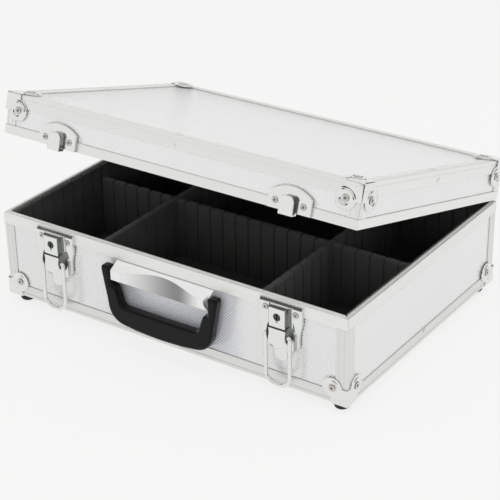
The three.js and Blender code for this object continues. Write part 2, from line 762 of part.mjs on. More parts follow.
// Handle grip: a U with bevelled edges, round at its pivots so that it swings clear
function handleGrip() {
  const top = gripPivotZ + gripThickness / 2;
  const waist = gripPivotZ - gripWaistDrop;
  const barTop = gripPivotZ - gripBarTop;
  const barBottom = gripPivotZ - gripBarBottom;
  const barEnd = barBottom + gripBow;
  const outer = new THREE.Path();
  outer.moveTo(gripTopHalf, top);
  outer.lineTo(gripTopHalf, gripPivotZ);
  outer.lineTo(gripWaistHalf, waist);
  outer.lineTo(gripWaistHalf - 1, barEnd + gripCorner * 0.75);
  outer.quadraticCurveTo(gripWaistHalf - 3, barEnd + 2, gripWaistHalf - gripCorner, barEnd);
  outer.quadraticCurveTo(gripWaistHalf / 3, barBottom, 0, barBottom);
  const step = gripPivotZ - gripStepDrop;
  const inner = new THREE.Path();
  inner.moveTo(gripInnerTop, top);
  inner.lineTo(gripInnerTop, step + 1);
  inner.lineTo(gripInnerStep, step);
  inner.lineTo(gripInnerLow, barTop + gripInnerRound);
  inner.quadraticCurveTo(gripInnerLow - 0.6, barTop, gripInnerLow - gripInnerRound, barTop);
  inner.lineTo(0, barTop);
  const points = (path) => path.getPoints(6).map(({ x, y }) => [x, y]);
  const mirror = (half) => half.slice(0, -1).map(([a, b]) => [-a, b]).reverse();
  const right = points(outer);
  const hollow = points(inner);
  const outline = [...right, ...mirror(right), ...mirror(hollow).reverse(), ...hollow.slice().reverse()];
  const shape = new THREE.Shape(outline.map(([a, b]) => new THREE.Vector2(a, b)));
  const plain = new THREE.ExtrudeGeometry(shape, {
    depth: gripThickness - 2 * gripEdge, bevelEnabled: true, bevelSegments: 2,
    bevelSize: gripEdge, bevelOffset: -gripEdge, bevelThickness: gripEdge, curveSegments: 1,
  });
  plain.rotateX(Math.PI / 2);
  plain.translate(0, -gripPivotOut + gripThickness / 2 - gripEdge, 0);
  const half = gripThickness / 2;
  const sideProfile = [
    ...arc(-gripPivotOut, gripPivotZ, half, 180, 0, 12),
    [-gripPivotOut + half, gripPivotZ - gripBarBottom - 1],
    [-gripPivotOut - half, gripPivotZ - gripBarBottom - 1],
  ];
  const envelope = solid(prismX(sideProfile, [-gripTopHalf - 1, gripTopHalf + 1]));
  const sockets = [-1, 1].map((side) => solid(prismX(
    circle(-gripPivotOut, gripPivotZ, pinRadius + runningGap, 16),
    [side * (gripInnerTop - 1), side * (pinEnd + runningGap)])));
  return solid(plain).intersect(envelope).subtract(unite(sockets));
}

function handle() {
  placeSolid(base, 'handle_bracket', handleBracket(), castMetal);
  placeSolid(base, 'handle_grip', handleGrip(), blackPlastic);
}

// Hinge leaves. The base leaf carries the outer knuckles and the pin, the lid leaf the middle
// knuckle. Height is measured away from the axis, down for the base and up for the lid
function hingeLeafBody(x, axisY, axisZ, up, gap) {
  const y = [axisY - hingeOut + gap, axisY - hingeOut + gap + hingeLeaf];
  const clear = knuckleRadius + runningGap;
  const z = (height) => axisZ + up * height;
  const plate = solid(block([x - hingeWidth / 2, x + hingeWidth / 2], y, [z(clear), z(hingeLeafHeight)]));
  const middle = knuckleMiddle / 2;
  const spans = up > 0
    ? [[x - middle + runningGap, x + middle - runningGap]]
    : [[x - hingeWidth / 2, x - middle], [x + middle, x + hingeWidth / 2]];
  const knuckles = spans.flatMap((span) => [
    solid(block(span, y, [z(0), z(clear + 1)])),
    solid(prismX(circle(axisY, axisZ, knuckleRadius, roundSegments), span)),
  ]);
  const rivets = [-1, 0, 1].map((i) => rivetHead(
    [x + i * hingeRivetX, y[1], z(hingeLeafHeight - hingeRivetInset)], [0, 1, 0], hingeRivetRadius));
  return unite([plate, ...knuckles, ...rivets]);
}

function hinges() {
  for (const [name, side] of [['left', -1], ['right', 1]]) {
    const x = side * hingeX;
    const reach = [x - hingeWidth / 2, x + hingeWidth / 2];
    const pin = solid(prismX(circle(hingeY, hingeZ, hingePinRadius, 16), reach));
    const baseLeaf = hingeLeafBody(x, hingeY, hingeZ, -1, fit).add(pin);
    placeSolid(base, `hinge_base_${name}`, baseLeaf, chrome);
    const bore = solid(prismX(circle(0, 0, hingePinRadius + runningGap, 16), reach));
    const lidLeaf = hingeLeafBody(x, 0, 0, 1, lidFit).subtract(bore);
    placeSolid(lid, `hinge_lid_${name}`, lidLeaf, chrome);
  }
}

// The lid is drawn closed, in the case's own coordinates, and then moved to its axis
const lidBottom = baseHeight + seamGap;
const lidTop = lidBottom + lidHeight;

function placeLid(name, geometry, material) {
  geometry.translate(0, -hingeY, -hingeZ);
  place(lid, name, geometry, material);
}

function lidPanels() {
  const outer = panelRecess;
  const inner = panelRecess + panelThickness;
  const endX = halfWidth - profileCore - lidFit;
  const endY = profileCore + lidFit;
  const y = [endY, caseDepth - endY];
  const z = [lidBottom + rimCore + lidFit, lidTop - profileCore - lidFit];
  placeLid('lid_front_panel', block([-endX, endX], [outer, inner], z), embossed);
  placeLid('lid_rear_panel', block([-endX, endX], [caseDepth - inner, caseDepth - outer], z), embossed);
  placeLid('lid_left_panel', block([-halfWidth + outer, -halfWidth + inner], y, z), embossed);
  placeLid('lid_right_panel', block([halfWidth - inner, halfWidth - outer], y, z), embossed);
  placeLid('lid_top_panel', block([-endX, endX], y, [lidTop - inner, lidTop - outer]), embossed);
  const padX = endX - lidPadMargin;
  const padTopZ = lidTop - inner - lidFit;
  placeLid('lid_pad', block([-padX, padX], [endY + lidPadMargin, caseDepth - endY - lidPadMargin],
    [padTopZ - lidPadThickness, padTopZ]), foam);
}

// The lid's lower rim, with a step inside it that clears the base's tongue
function lidRim() {
  const skirt = ring(0, profileWall, [lidBottom, lidBottom + lidRimHeight]);
  const core = ring(0, profileCore, [lidBottom, lidBottom + rimCore]);
  const stepOuter = profileCore - tongueWidth - tongueRoom;
  const stepTop = lidBottom + tongueHeight + tongueRoom - seamGap;
  const step = ring(stepOuter, profileCore + 1, [lidBottom - 1, stepTop]);
  return skirt.add(core).subtract(step);
}

// The lid's edge frame is the base's turned over, with its four short posts
function lidFrame() {
  const frame = geometryOf(edgeFrame());
  frame.rotateX(Math.PI);
  frame.translate(0, caseDepth, lidTop);
  const postZ = [lidBottom + lidRimHeight + lidFit, lidTop - profileLeg + 1];
  const posts = corners.map((corner) => (
    solid(prismZ(postOutline(corner.atX, corner.atY, corner.inX, corner.inY), postZ))));
  const rivets = edgeRivets(lidTop - profileRivetInset, lidTop, 1);
  return unite([solid(frame), ...posts, ...rivets]);
}

// Catch: an arched plate low on the lid's front with a strip bent out and up into a hook
function lidCatch(x) {
  const back = -lidFit;
  const face = back - catchThickness;
  const rise = catchHeight - catchShoulder;
  const radius = (plateHalfWidth ** 2 + rise ** 2) / (2 * rise);
  const spread = THREE.MathUtils.radToDeg(Math.asin(plateHalfWidth / radius));
  const arch = arc(x, lidBottom + catchHeight - radius, radius, 90 - spread, 90 + spread, 14);
  const plate = solid(prismY([
    [x - plateHalfWidth, lidBottom + lidFit], [x + plateHalfWidth, lidBottom + lidFit], ...arch,
  ], [back, face]));
  const top = lidBottom + hookHeight;
  const foot = lidBottom - hookDrop;
  const crown = hookHalfWidth - hookArch;
  const tab = solid(prismY([
    [x - hookHalfWidth, foot], [x + hookHalfWidth, foot], [x + hookHalfWidth, top - hookArch],
    ...arc(x + crown, top - hookArch, hookArch, 0, 90, 4).slice(1),
    ...arc(x - crown, top - hookArch, hookArch, 90, 180, 4),
  ], [-hookFront, -hookFront + hookSheet]));
  const bend = solid(prismX([
    [-hookFront + 0.4, foot], [back, foot], [back, lidBottom + 1], [face, lidBottom + 1],
    [face, foot + hookSheet], [-hookFront + 0.4, foot + hookSheet],
  ], [x - hookHalfWidth, x + hookHalfWidth]));
  const rivets = [-1, 1].map((side) => (
    rivetHead([x + side * catchRivetX, face, lidBottom + catchRivetHeight], [0, -1, 0])));
  return unite([plate, tab, bend, ...rivets]);
}

function lidHardware() {
  for (const corner of corners) {
    const cap = cornerCap(corner, lidTop, -1, lidFit, ['x', 'y', 'z']);
    placeLid(`lid_cap_${corner.name}`, geometryOf(cap), chrome);
  }
  for (const [name, side] of [['left', -1], ['right', 1]]) {
    placeLid(`lid_catch_${name}`, geometryOf(lidCatch(side * latchX)), chrome);
  }
}

basePanels();
baseRim();
placeSolid(base, 'bottom_frame', unite([edgeFrame(), ...edgeRivets(profileRivetInset, 0, -1)]), anodised);
cornerPosts();
baseCapsAndFeet();
foamLining();
dividers();
latches();
handle();
hinges();
lidPanels();
placeLid('lid_rim', geometryOf(lidRim()), anodised);
placeLid('lid_frame', geometryOf(lidFrame()), anodised);
lidHardware();

export default model;
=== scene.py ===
# %% [markdown]
# # A tool organizer box, part-way open
# The real thing is a framed case: thin embossed aluminium skins on board, held in extruded aluminium
# edges, with pressed corner caps, two lockable draw latches, a carry handle and ribbed foam inside.
# The measured model of it is already made, in millimetres, and it is loaded here as a fixed frame.
# What its flat pieces lack is finish, and what its small fittings lack is roundness. The flat pieces
# keep their shapes and get materials and softened edges, and the fittings and foam are modelled again.

# %% Load the measured model
import bpy
import math
from mathutils import Euler, Matrix, Vector


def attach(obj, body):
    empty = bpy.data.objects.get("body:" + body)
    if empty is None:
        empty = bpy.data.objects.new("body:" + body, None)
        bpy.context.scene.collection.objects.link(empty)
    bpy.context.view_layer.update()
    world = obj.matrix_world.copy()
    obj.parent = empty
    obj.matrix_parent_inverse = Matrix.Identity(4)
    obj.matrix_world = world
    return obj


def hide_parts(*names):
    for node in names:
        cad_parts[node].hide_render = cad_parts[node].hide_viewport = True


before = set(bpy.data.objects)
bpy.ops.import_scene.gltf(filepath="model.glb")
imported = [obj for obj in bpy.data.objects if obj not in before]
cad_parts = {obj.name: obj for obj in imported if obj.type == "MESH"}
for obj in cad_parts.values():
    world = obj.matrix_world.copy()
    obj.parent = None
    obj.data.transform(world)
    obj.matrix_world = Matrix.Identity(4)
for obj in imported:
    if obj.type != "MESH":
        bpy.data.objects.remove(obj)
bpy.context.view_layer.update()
MM = 0.001
print("pieces in the measured model:", len(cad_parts))

# %% [markdown]
# ## The case's own coordinates
# It is easier to model a fitting where it would be drawn on paper: x from the middle to the right,
# y in from the front face and z up from the underside of the case, all in millimetres, and the lid
# closed. Two short helpers then carry a finished mesh to its real place, and for the lid's pieces
# they also open it by the angle of the photograph.

# %% Places on the case
CASE_WIDTH, CASE_DEPTH = 460.0, 330.0
BASE_HEIGHT, LID_HEIGHT = 102.5, 46.5
HALF_WIDTH = CASE_WIDTH / 2
CASE_FRONT, CASE_BOTTOM = -165.2873, 11.3
HINGE_Y, HINGE_Z = 334.0, 102.8
LID_BOTTOM = BASE_HEIGHT + 0.6
LID_TOP = LID_BOTTOM + LID_HEIGHT
LID_ANGLE = math.radians(16.2)


def rest():
    """Back to object mode with nothing selected."""
    if bpy.context.object and bpy.context.object.mode != "OBJECT":
        bpy.ops.object.mode_set(mode="OBJECT")
    bpy.ops.object.select_all(action="DESELECT")


def pick(piece):
    """Select one piece alone and make it the active one."""
    rest()
    piece.select_set(True)
    bpy.context.view_layer.objects.active = piece
    return piece


def apply_place(piece):
    pick(piece)
    bpy.ops.object.transform_apply(location=True, rotation=True, scale=True)
    return piece


def seat_on_base(piece):
    piece.location = Vector((0, CASE_FRONT, CASE_BOTTOM)) * MM
    return apply_place(piece)


def seat_on_lid(piece):
    piece.location = Vector((0, -HINGE_Y, -HINGE_Z)) * MM
    apply_place(piece)
    piece.location = Vector((0, HINGE_Y + CASE_FRONT, HINGE_Z + CASE_BOTTOM)) * MM
    piece.rotation_euler = Euler((-LID_ANGLE, 0, 0))
    return apply_place(piece)


rest()
print("front face at y", CASE_FRONT, "mm, underside at z", CASE_BOTTOM, "mm")

# %% [markdown]
# ## Camera
# The photograph was taken with a long lens from the right front, a little above the lid. The place
# and the lens were found by fitting the corners of the case to the picture, so they are written
# here as numbers. The camera is turned by its own forward and right directions.

# %% Camera
camera_data = bpy.data.cameras.new("product_camera")
camera = bpy.data.objects.new("product_camera", camera_data)
bpy.context.collection.objects.link(camera)
camera_data.lens = 112.68
camera_data.sensor_width = 36.0
camera_data.sensor_fit = "HORIZONTAL"
forward = Vector((-0.50645, 0.73271, -0.45459)).normalized()
right = Vector((0.82637, 0.56298, -0.01323))
right = (right - right.dot(forward) * forward).normalized()
up = right.cross(forward)
camera.matrix_world = Matrix.Translation((0.92128, -1.33592, 0.88587)) @ Matrix(
    (right, up, -forward)).transposed().to_4x4()
bpy.context.scene.camera = camera
bpy.context.scene.view_settings.view_transform = "Standard"
print("camera lens", camera_data.lens, "mm at", [round(v, 3) for v in camera.location])

# %% [markdown]
# ## Floor and light
# A product like this is photographed on white, inside a large soft tent, which is why its metal looks
# white all over. The world stands for the tent. Rays that the camera, metal or glass sends out see it
# near white, and it lights the object at a plain level. A tent has an opening, and polished edges
# mirror it as thin black lines, so for glossy rays alone the world has one dark, tilted band.
# The floor is pale and keeps the soft shadow under the case. Three large lamps shine through the
# tent's cloth and give the faces their slightly different tones. Metal mirrors the cloth and not the
# lamps behind it, so they are hidden from glossy rays.

# %% Helpers for nodes
def socket_of(value, links, target):
    """Put a number, a colour or another node's output into a socket."""
    if isinstance(value, bpy.types.NodeSocket):
        links.new(value, target)
    else:
        target.default_value = value


def calc(tree, operation, *values):
    """A Math node: numbers or sockets go in, its output comes back."""
    node = tree.nodes.new("ShaderNodeMath")
    node.operation = operation
    for value, target in zip(values, node.inputs):
        socket_of(value, tree.links, target)
    return node.outputs[0]


def blend_colours(tree, factor, first, second):
    """A Mix node set to colour."""
    node = tree.nodes.new("ShaderNodeMix")
    node.data_type = "RGBA"
    socket_of(factor, tree.links, node.inputs["Factor"])
    socket_of(first, tree.links, node.inputs[6])
    socket_of(second, tree.links, node.inputs[7])
    return node.outputs[2]


def seen_as_background(tree):
    """1 for a ray from the camera, from a glossy surface or through glass, and 0 for the rest."""
    path = tree.nodes.new("ShaderNodeLightPath")
    either = calc(tree, "MAXIMUM", path.outputs["Is Camera Ray"], path.outputs["Is Glossy Ray"])
    return calc(tree, "MAXIMUM", either, path.outputs["Is Transmission Ray"])


# %% World
TENT_WHITE = 0.93
TENT_LIGHT = 0.62
world = bpy.data.worlds.new("light_tent")
bpy.context.scene.world = world
world.use_nodes = True
tent = world.node_tree
tent_shader = tent.nodes["Background"]
tent_shader.inputs["Color"].default_value = (1, 1, 0.995, 1)
white_part = calc(tent, "MULTIPLY", seen_as_background(tent), TENT_WHITE - TENT_LIGHT)
plain_light = calc(tent, "ADD", white_part, TENT_LIGHT)
OPENING_RISE, OPENING_TILT, OPENING_HALF, OPENING_EDGE = 0.302, 0.294, 0.13, 0.03
OPENING_DARK = 0.96
heading = tent.nodes.new("ShaderNodeSeparateXYZ")
tent.links.new(tent.nodes.new("ShaderNodeTexCoord").outputs["Generated"], heading.inputs[0])
rise = calc(tent, "MULTIPLY_ADD", heading.outputs["X"], OPENING_TILT, heading.outputs["Z"])
from_opening = calc(tent, "ABSOLUTE", calc(tent, "SUBTRACT", rise, OPENING_RISE))
in_opening = tent.nodes.new("ShaderNodeMapRange")
in_opening.inputs["From Min"].default_value = OPENING_HALF
in_opening.inputs["From Max"].default_value = OPENING_HALF - OPENING_EDGE
tent.links.new(from_opening, in_opening.inputs["Value"])
ray = tent.nodes.new("ShaderNodeLightPath")
dark_part = calc(tent, "MULTIPLY", in_opening.outputs["Result"], ray.outputs["Is Glossy Ray"])
left_over = calc(tent, "MULTIPLY_ADD", dark_part, -OPENING_DARK, 1.0)
socket_of(calc(tent, "MULTIPLY", plain_light, left_over), tent.links, tent_shader.inputs["Strength"])
print("tent seen at", TENT_WHITE, "and lighting at", TENT_LIGHT)

# %% Floor
bpy.ops.mesh.primitive_plane_add(size=12, location=(0, 0, 0))
floor = bpy.context.object
floor.name = "studio_floor"
floor_finish = bpy.data.materials.new("pale_floor")
floor_finish.use_nodes = True
floor_tree = floor_finish.node_tree
matt = floor_tree.nodes["Principled BSDF"]
matt.inputs["Base Color"].default_value = (0.86, 0.86, 0.855, 1)
matt.inputs["Roughness"].default_value = 0.95
matt.inputs["Specular IOR Level"].default_value = 0.0
glow = floor_tree.nodes.new("ShaderNodeEmission")
glow.inputs["Color"].default_value = (1, 1, 0.995, 1)
glow.inputs["Strength"].default_value = TENT_WHITE
share = floor_tree.nodes.new("ShaderNodeMixShader")
FLOOR_GLOW = 0.86
socket_of(calc(floor_tree, "MULTIPLY", seen_as_background(floor_tree), FLOOR_GLOW),
          floor_tree.links, share.inputs["Fac"])
floor_tree.links.new(matt.outputs[0], share.inputs[1])
floor_tree.links.new(glow.outputs[0], share.inputs[2])
floor_tree.links.new(share.outputs[0], floor_tree.nodes["Material Output"].inputs["Surface"])
floor.data.materials.append(floor_finish)

# %% Lamps
def soft_lamp(name, place, target, size, power):
    data = bpy.data.lights.new(name, "AREA")
    data.shape = "RECTANGLE"
    data.size, data.size_y = size
    data.energy = power
    lamp = bpy.data.objects.new(name, data)
    bpy.context.collection.objects.link(lamp)
    lamp.location = place
    lamp.rotation_euler = (Vector(target) - Vector(place)).to_track_quat("-Z", "Y").to_euler()
    lamp.visible_glossy = False
    return lamp


soft_lamp("overhead_softbox", (0.1, -0.1, 2.4), (0, 0, 0.1), (3.0, 3.0), 27)
soft_lamp("front_softbox", (0.9, -2.2, 1.9), (0, 0, 0.08), (2.4, 1.8), 12)
soft_lamp("right_softbox", (2.4, 0.2, 1.2), (0, 0, 0.08), (1.8, 1.8), 8)
print("three soft lamps")

# %% [markdown]
# ## Aluminium edges
# The edges are extruded aluminium with a satin anodised finish: a pale, slightly warm metal with a
# soft reflection and a hardly visible grain along the length. A metallic shader with a middling
# roughness gives that, and stretched noise varies its tone and roughness a little, as handling does.

# %% Satin anodised aluminium
def new_finish(name, metallic, roughness):
    """A material with its Principled shader, ready for colour and bump."""
    finish = bpy.data.materials.new(name)
    finish.use_nodes = True
    shader = finish.node_tree.nodes["Principled BSDF"]
    shader.inputs["Metallic"].default_value = metallic
    shader.inputs["Roughness"].default_value = roughness
    return finish, finish.node_tree, shader


def place_on_surface(tree, scale=(1, 1, 1), turn=0.0, shift=(0, 0, 0)):
    """Object coordinates through a Mapping node that stretches, turns about x or moves the pattern."""
    coordinates = tree.nodes.new("ShaderNodeTexCoord")
    mapping = tree.nodes.new("ShaderNodeMapping")
    mapping.inputs["Scale"].default_value = scale
    mapping.inputs["Rotation"].default_value = (turn, 0, 0)
    mapping.inputs["Location"].default_value = shift
    tree.links.new(coordinates.outputs["Object"], mapping.inputs["Vector"])
    return mapping.outputs["Vector"]


def noise(tree, vector, scale, detail=2.0):
    node = tree.nodes.new("ShaderNodeTexNoise")
    node.inputs["Scale"].default_value = scale
    node.inputs["Detail"].default_value = detail
    tree.links.new(vector, node.inputs["Vector"])
    return node.outputs["Fac"]


def spread(tree, value, low, high):
    """Map 0..1 to low..high."""
    node = tree.nodes.new("ShaderNodeMapRange")
    node.inputs["To Min"].default_value = low
    node.inputs["To Max"].default_value = high
    tree.links.new(value, node.inputs["Value"])
    return node.outputs["Result"]


def bump(tree, shader, height, distance, strength=1.0):
    node = tree.nodes.new("ShaderNodeBump")
    node.inputs["Distance"].default_value = distance
    node.inputs["Strength"].default_value = strength
    tree.links.new(height, node.inputs["Height"])
    tree.links.new(node.outputs["Normal"], shader.inputs["Normal"])


def anodised(name, grain, low=0.74, high=0.80, metallic=0.85):
    """Grain is how much the noise is squeezed along each axis: small along the extrusion."""
    finish, tree, shader = new_finish(name, metallic, 0.34)
    vector = place_on_surface(tree, grain, LID_ANGLE if "lid" in name else 0.0)
    fine = noise(tree, vector, 900, 3)
    tone = blend_colours(tree, fine, (low, low, low * 0.975, 1), (high, high, high * 0.98, 1))
    tree.links.new(tone, shader.inputs["Base Color"])
    tree.links.new(spread(tree, fine, 0.28, 0.42), shader.inputs["Roughness"])
    bump(tree, shader, fine, 0.00003, 0.5)
    return finish


edge_across = anodised("anodised_edge_across", (0.03, 1, 1))
edge_upright = anodised("anodised_edge_upright", (1, 1, 0.03))
# The rims and the lid's edges are the same anodised aluminium as the lower edges, with paler tones and, for
# the rims, less metal: painted light that lifts the rims in the lid's shade and brightens the lid's edges.
rim_across = anodised("anodised_rim_across", (0.03, 1, 1), 0.82, 0.88, 0.3)
rim_deep = anodised("anodised_rim_deep", (1, 0.03, 1), 0.78, 0.84, 0.35)
lid_edge = anodised("anodised_lid_edge", (0.25, 0.25, 1), 0.83, 0.89)
print("anodised finishes:", 5)

# %% [markdown]
# ## Softened edges on the measured pieces
# No extrusion has a perfectly sharp edge. The measured meshes are loose triangles that may not be
# edited, so three live modifiers do it: Weld joins them, a planar Decimate clears the triangles
# from the flat faces, and a narrow Bevel rounds what is left.

# %% Dress the edge pieces
def soften(node, width):
    """Live modifiers that join the triangles, clear the flats and round the edges."""
    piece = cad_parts[node]
    weld = piece.modifiers.new("join", "WELD")
    weld.merge_threshold = 0.00001
    flat = piece.modifiers.new("clear_flats", "DECIMATE")
    flat.decimate_type = "DISSOLVE"
    flat.angle_limit = math.radians(1.0)
    if width:
        edge = piece.modifiers.new("round_edges", "BEVEL")
        edge.width = width * MM
        edge.segments = 2
        edge.limit_method = "ANGLE"
        edge.angle_limit = math.radians(50)
    return piece


def dress(node, finish, width=0.0):
    """Give a measured piece its finish, and softened edges where a width is named."""
    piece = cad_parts[node]
    if not piece.material_slots:
        piece.data.materials.append(finish)
    for slot in piece.material_slots:
        slot.material = finish
    if width:
        soften(node, width)


CORNERS = ("front_left", "front_right", "rear_left", "rear_right")
for side in ("front", "rear"):
    dress(f"rim_{side}", rim_across, 0.35)
for side in ("left", "right"):
    dress(f"rim_{side}", rim_deep, 0.35)
for corner in CORNERS:
    dress(f"post_{corner}", edge_upright, 0.15)
dress("bottom_frame", edge_across, 0.35)
dress("lid_rim", lid_edge, 0.35)
dress("lid_frame", lid_edge, 0.35)
print("edge pieces dressed:", 2 + 2 + 4 + 3)

# %% [markdown]
# ## Embossed aluminium skins
# The sheets are thin aluminium rolled with a fine diamond pattern. Close to, they are rows of little
# ridges in two directions, and from further off they show as slanting lines that come and go with the
# light. Two sets of slanting ridges, with flat flanks, are drawn over the sheet's own two directions, and
# they feed the bump. Both flanks of a ridge mirror the white tent, so over most of a sheet the lines
# hardly show, and its valleys are painted a little darker: painted shade. Next to the black grip they
# stand out on the real case; there the valleys are painted blue-grey and the sheet is less metallic: a
# painted reflection of the grip. A thin dark line is painted where a sheet meets its lower edge: a
# painted shadow line.

# %% Embossed skin
RIDGE_PITCH, RIDGE_DEPTH = 2.35, 0.30


def ridges(tree, along, upward, slant):
    """0 in the valleys and 1 on the crests of ridges that rise to the right (1) or to the left (-1)."""
    across = calc(tree, "MULTIPLY_ADD", upward, -slant, along)
    return calc(tree, "PINGPONG", calc(tree, "MULTIPLY", across, math.sqrt(2) / (RIDGE_PITCH * MM)), 1.0)


def embossed(name, along_axis, up_axis, on_lid, slanting, plain, paleness, shadow_line_height=None):
    """A skin whose pattern lies in two of the object's axes. On the lid it is read as if closed."""
    finish, tree, shader = new_finish(name, 0.8, 0.24)
    hinge = Vector((0, HINGE_Y + CASE_FRONT, HINGE_Z + CASE_BOTTOM)) * MM
    turn = LID_ANGLE if on_lid else 0.0
    place = place_on_surface(tree, turn=turn, shift=hinge - Matrix.Rotation(turn, 3, "X") @ hinge)
    split = tree.nodes.new("ShaderNodeSeparateXYZ")
    tree.links.new(place, split.inputs[0])
    along, upward = split.outputs[along_axis], split.outputs[up_axis]
    rising = ridges(tree, along, upward, 1)
    falling = ridges(tree, along, upward, -1)
    height = calc(tree, "MULTIPLY_ADD", rising, slanting, calc(tree, "MULTIPLY", falling, plain))
    drift = spread(tree, noise(tree, place, 7, 1), 0.0, 1.0)
    # Painted shade: the valleys are darkened a little everywhere, and much more round the grip, where it is a
    # painted reflection of the grip.
    valley = calc(tree, "POWER", calc(tree, "SUBTRACT", 1.0, rising), 2.5)
    grip_reflection_mask = beside_handle(tree, split)
    painted_valley_shade = calc(tree, "MULTIPLY_ADD", grip_reflection_mask, 0.72, calc(tree, "MULTIPLY", drift, 0.14))
    shade = calc(tree, "MULTIPLY", valley, painted_valley_shade)
    shade = calc(tree, "ADD", shade, calc(tree, "MULTIPLY", calc(tree, "SUBTRACT", 1.0, falling), 0.03))
    pale, deep = (paleness, paleness * 0.99, paleness * 0.99, 1), (0.30, 0.36, 0.50, 1)
    tone = blend_colours(tree, shade, pale, deep)
    # A painted shadow line: thin and dark where the sheet meets the edge below it, broken by the ridges.
    if shadow_line_height:
        line = calc(tree, "LESS_THAN", calc(tree, "ABSOLUTE", calc(tree, "SUBTRACT", upward, shadow_line_height * MM)),
                    0.35 * MM)
        line = calc(tree, "MULTIPLY", line, calc(tree, "MULTIPLY_ADD", rising, 0.75, 0.05))
        tone = blend_colours(tree, line, tone, (0.16, 0.16, 0.17, 1))
    inside = lining_side(tree, split, on_lid)
    tone = blend_colours(tree, inside, tone, (0.025, 0.025, 0.025, 1))
    # Round the grip the sheet is also made less metallic, part of the painted reflection.
    bare = calc(tree, "MULTIPLY_ADD", grip_reflection_mask, -0.44, 0.62)
    metallic = calc(tree, "MULTIPLY", calc(tree, "SUBTRACT", 1.0, inside), bare)
    tree.links.new(metallic, shader.inputs["Metallic"])
    tree.links.new(tone, shader.inputs["Base Color"])
    tree.links.new(spread(tree, height, 0.15, 0.11), shader.inputs["Roughness"])
    bump(tree, shader, height, RIDGE_DEPTH * MM, 1.0)
    return finish


def beside_handle(tree, split):
    """1 round the handle, where the valleys are painted blue-grey as a painted reflection of the black grip,
    and 0 on the rest and at the rear.
    """
    reach = tree.nodes.new("ShaderNodeMapRange")
    reach.interpolation_type = "SMOOTHSTEP"
    reach.inputs["From Min"].default_value = 100 * MM
    reach.inputs["From Max"].default_value = 70 * MM
    sideways = calc(tree, "ABSOLUTE", calc(tree, "SUBTRACT", split.outputs[0], 8 * MM))
    tree.links.new(sideways, reach.inputs["Value"])
    in_front = calc(tree, "LESS_THAN", split.outputs[1], (CASE_FRONT + 2) * MM)
    low = calc(tree, "LESS_THAN", split.outputs[2], 0.11)
    return calc(tree, "MULTIPLY", reach.outputs["Result"], calc(tree, "MULTIPLY", in_front, low))


def lining_side(tree, split, on_lid):
    """1 on the board's inner faces, which are lined in black, and 0 on the outer faces."""
    depth = 3.0
    top = (CASE_BOTTOM + LID_TOP - depth) * MM if on_lid else 10.0
    bottom = -10.0 if on_lid else (CASE_BOTTOM + depth) * MM
    in_x = calc(tree, "LESS_THAN", calc(tree, "ABSOLUTE", split.outputs[0]), (HALF_WIDTH - depth) * MM)
    middle = (CASE_FRONT + CASE_DEPTH / 2) * MM
    from_middle = calc(tree, "ABSOLUTE", calc(tree, "SUBTRACT", split.outputs[1], middle))
    in_y = calc(tree, "LESS_THAN", from_middle, (CASE_DEPTH / 2 - depth) * MM)
    in_z = calc(tree, "MULTIPLY", calc(tree, "LESS_THAN", split.outputs[2], top),
                calc(tree, "GREATER_THAN", split.outputs[2], bottom))
    return calc(tree, "MULTIPLY", in_x, calc(tree, "MULTIPLY", in_y, in_z))


X, Y, Z = 0, 1, 2
PROFILE_LEG = 14.0
base_shadow_line = CASE_BOTTOM + PROFILE_LEG + 0.35
lid_shadow_line = CASE_BOTTOM + LID_BOTTOM + 10.5 + 0.35
# The lid's front and top skins have paler tones than the rest, the top palest: painted light, for the light
# that falls more on them.
skin_front = embossed("embossed_front_skin", X, Z, False, 1.0, 0.15, 0.85, base_shadow_line)
skin_side = embossed("embossed_side_skin", Y, Z, False, 0.3, 0.2, 0.85, base_shadow_line)
skin_under = embossed("embossed_under_skin", X, Y, False, 0.7, 0.7, 0.85)
skin_lid_front = embossed("embossed_lid_front_skin", X, Z, True, 0.8, 0.2, 0.87, lid_shadow_line)
skin_lid_side = embossed("embossed_lid_side_skin", Y, Z, True, 0.3, 0.25, 0.85, lid_shadow_line)
skin_lid_top = embossed("embossed_lid_top_skin", X, Y, True, 0.3, 0.3, 0.9)
for node in ("front_panel", "rear_panel"):
    dress(node, skin_front)
for node in ("left_panel", "right_panel"):
    dress(node, skin_side)
dress("bottom_panel", skin_under)
for node in ("lid_front_panel", "lid_rear_panel"):
    dress(node, skin_lid_front)
for node in ("lid_left_panel", "lid_right_panel"):
    dress(node, skin_lid_side)
dress("lid_top_panel", skin_lid_top)
print("skins dressed:", 10)

# %% [markdown]
# ## Chromed and cast fittings, black plastic, rubber
# The caps, latches and catches are pressed steel, polished and nickel-plated: nearly a mirror, with
# faint waves from the press. Rivets are duller, and the lock barrel is dark steel. Darker finishes are
# also painted on: painted shade in the rivets' hollows and round their rims, on the grip's pins and on
# the ears, a painted dark reflection on the housing's flares and the hooks' shoulders, and a painted
# shadow on the lever's top under the housing. The handle's bracket is cast and brushed. The grip is
# satin black plastic with a fine grain, and the feet are rubber.

# %% Polished plating
def plated(name, colour, roughness, waves):
    finish, tree, shader = new_finish(name, 0.93, roughness)
    place = place_on_surface(tree)
    slow = noise(tree, place, 45, 2)
    tone = blend_colours(tree, slow, (*[c * 0.97 for c in colour], 1), (*colour, 1))
    tree.links.new(tone, shader.inputs["Base Color"])
    tree.links.new(spread(tree, noise(tree, place, 260, 2), roughness * 0.7, roughness * 1.4),
                   shader.inputs["Roughness"])
    bump(tree, shader, slow, waves, 0.6)
    return finish


chrome = plated("polished_plating", (0.82, 0.82, 0.805), 0.1, 0.0004)
rivet_metal = plated("rivet_metal", (0.66, 0.645, 0.60), 0.25, 0.0002)
painted_shade_grey = plated("painted_shade_grey", (0.24, 0.23, 0.21), 0.35, 0.0002)
painted_shade_plating = plated("painted_shade_plating", (0.20, 0.215, 0.20), 0.22, 0.0004)
lock_steel = plated("lock_steel", (0.085, 0.085, 0.085), 0.35, 0.0002)

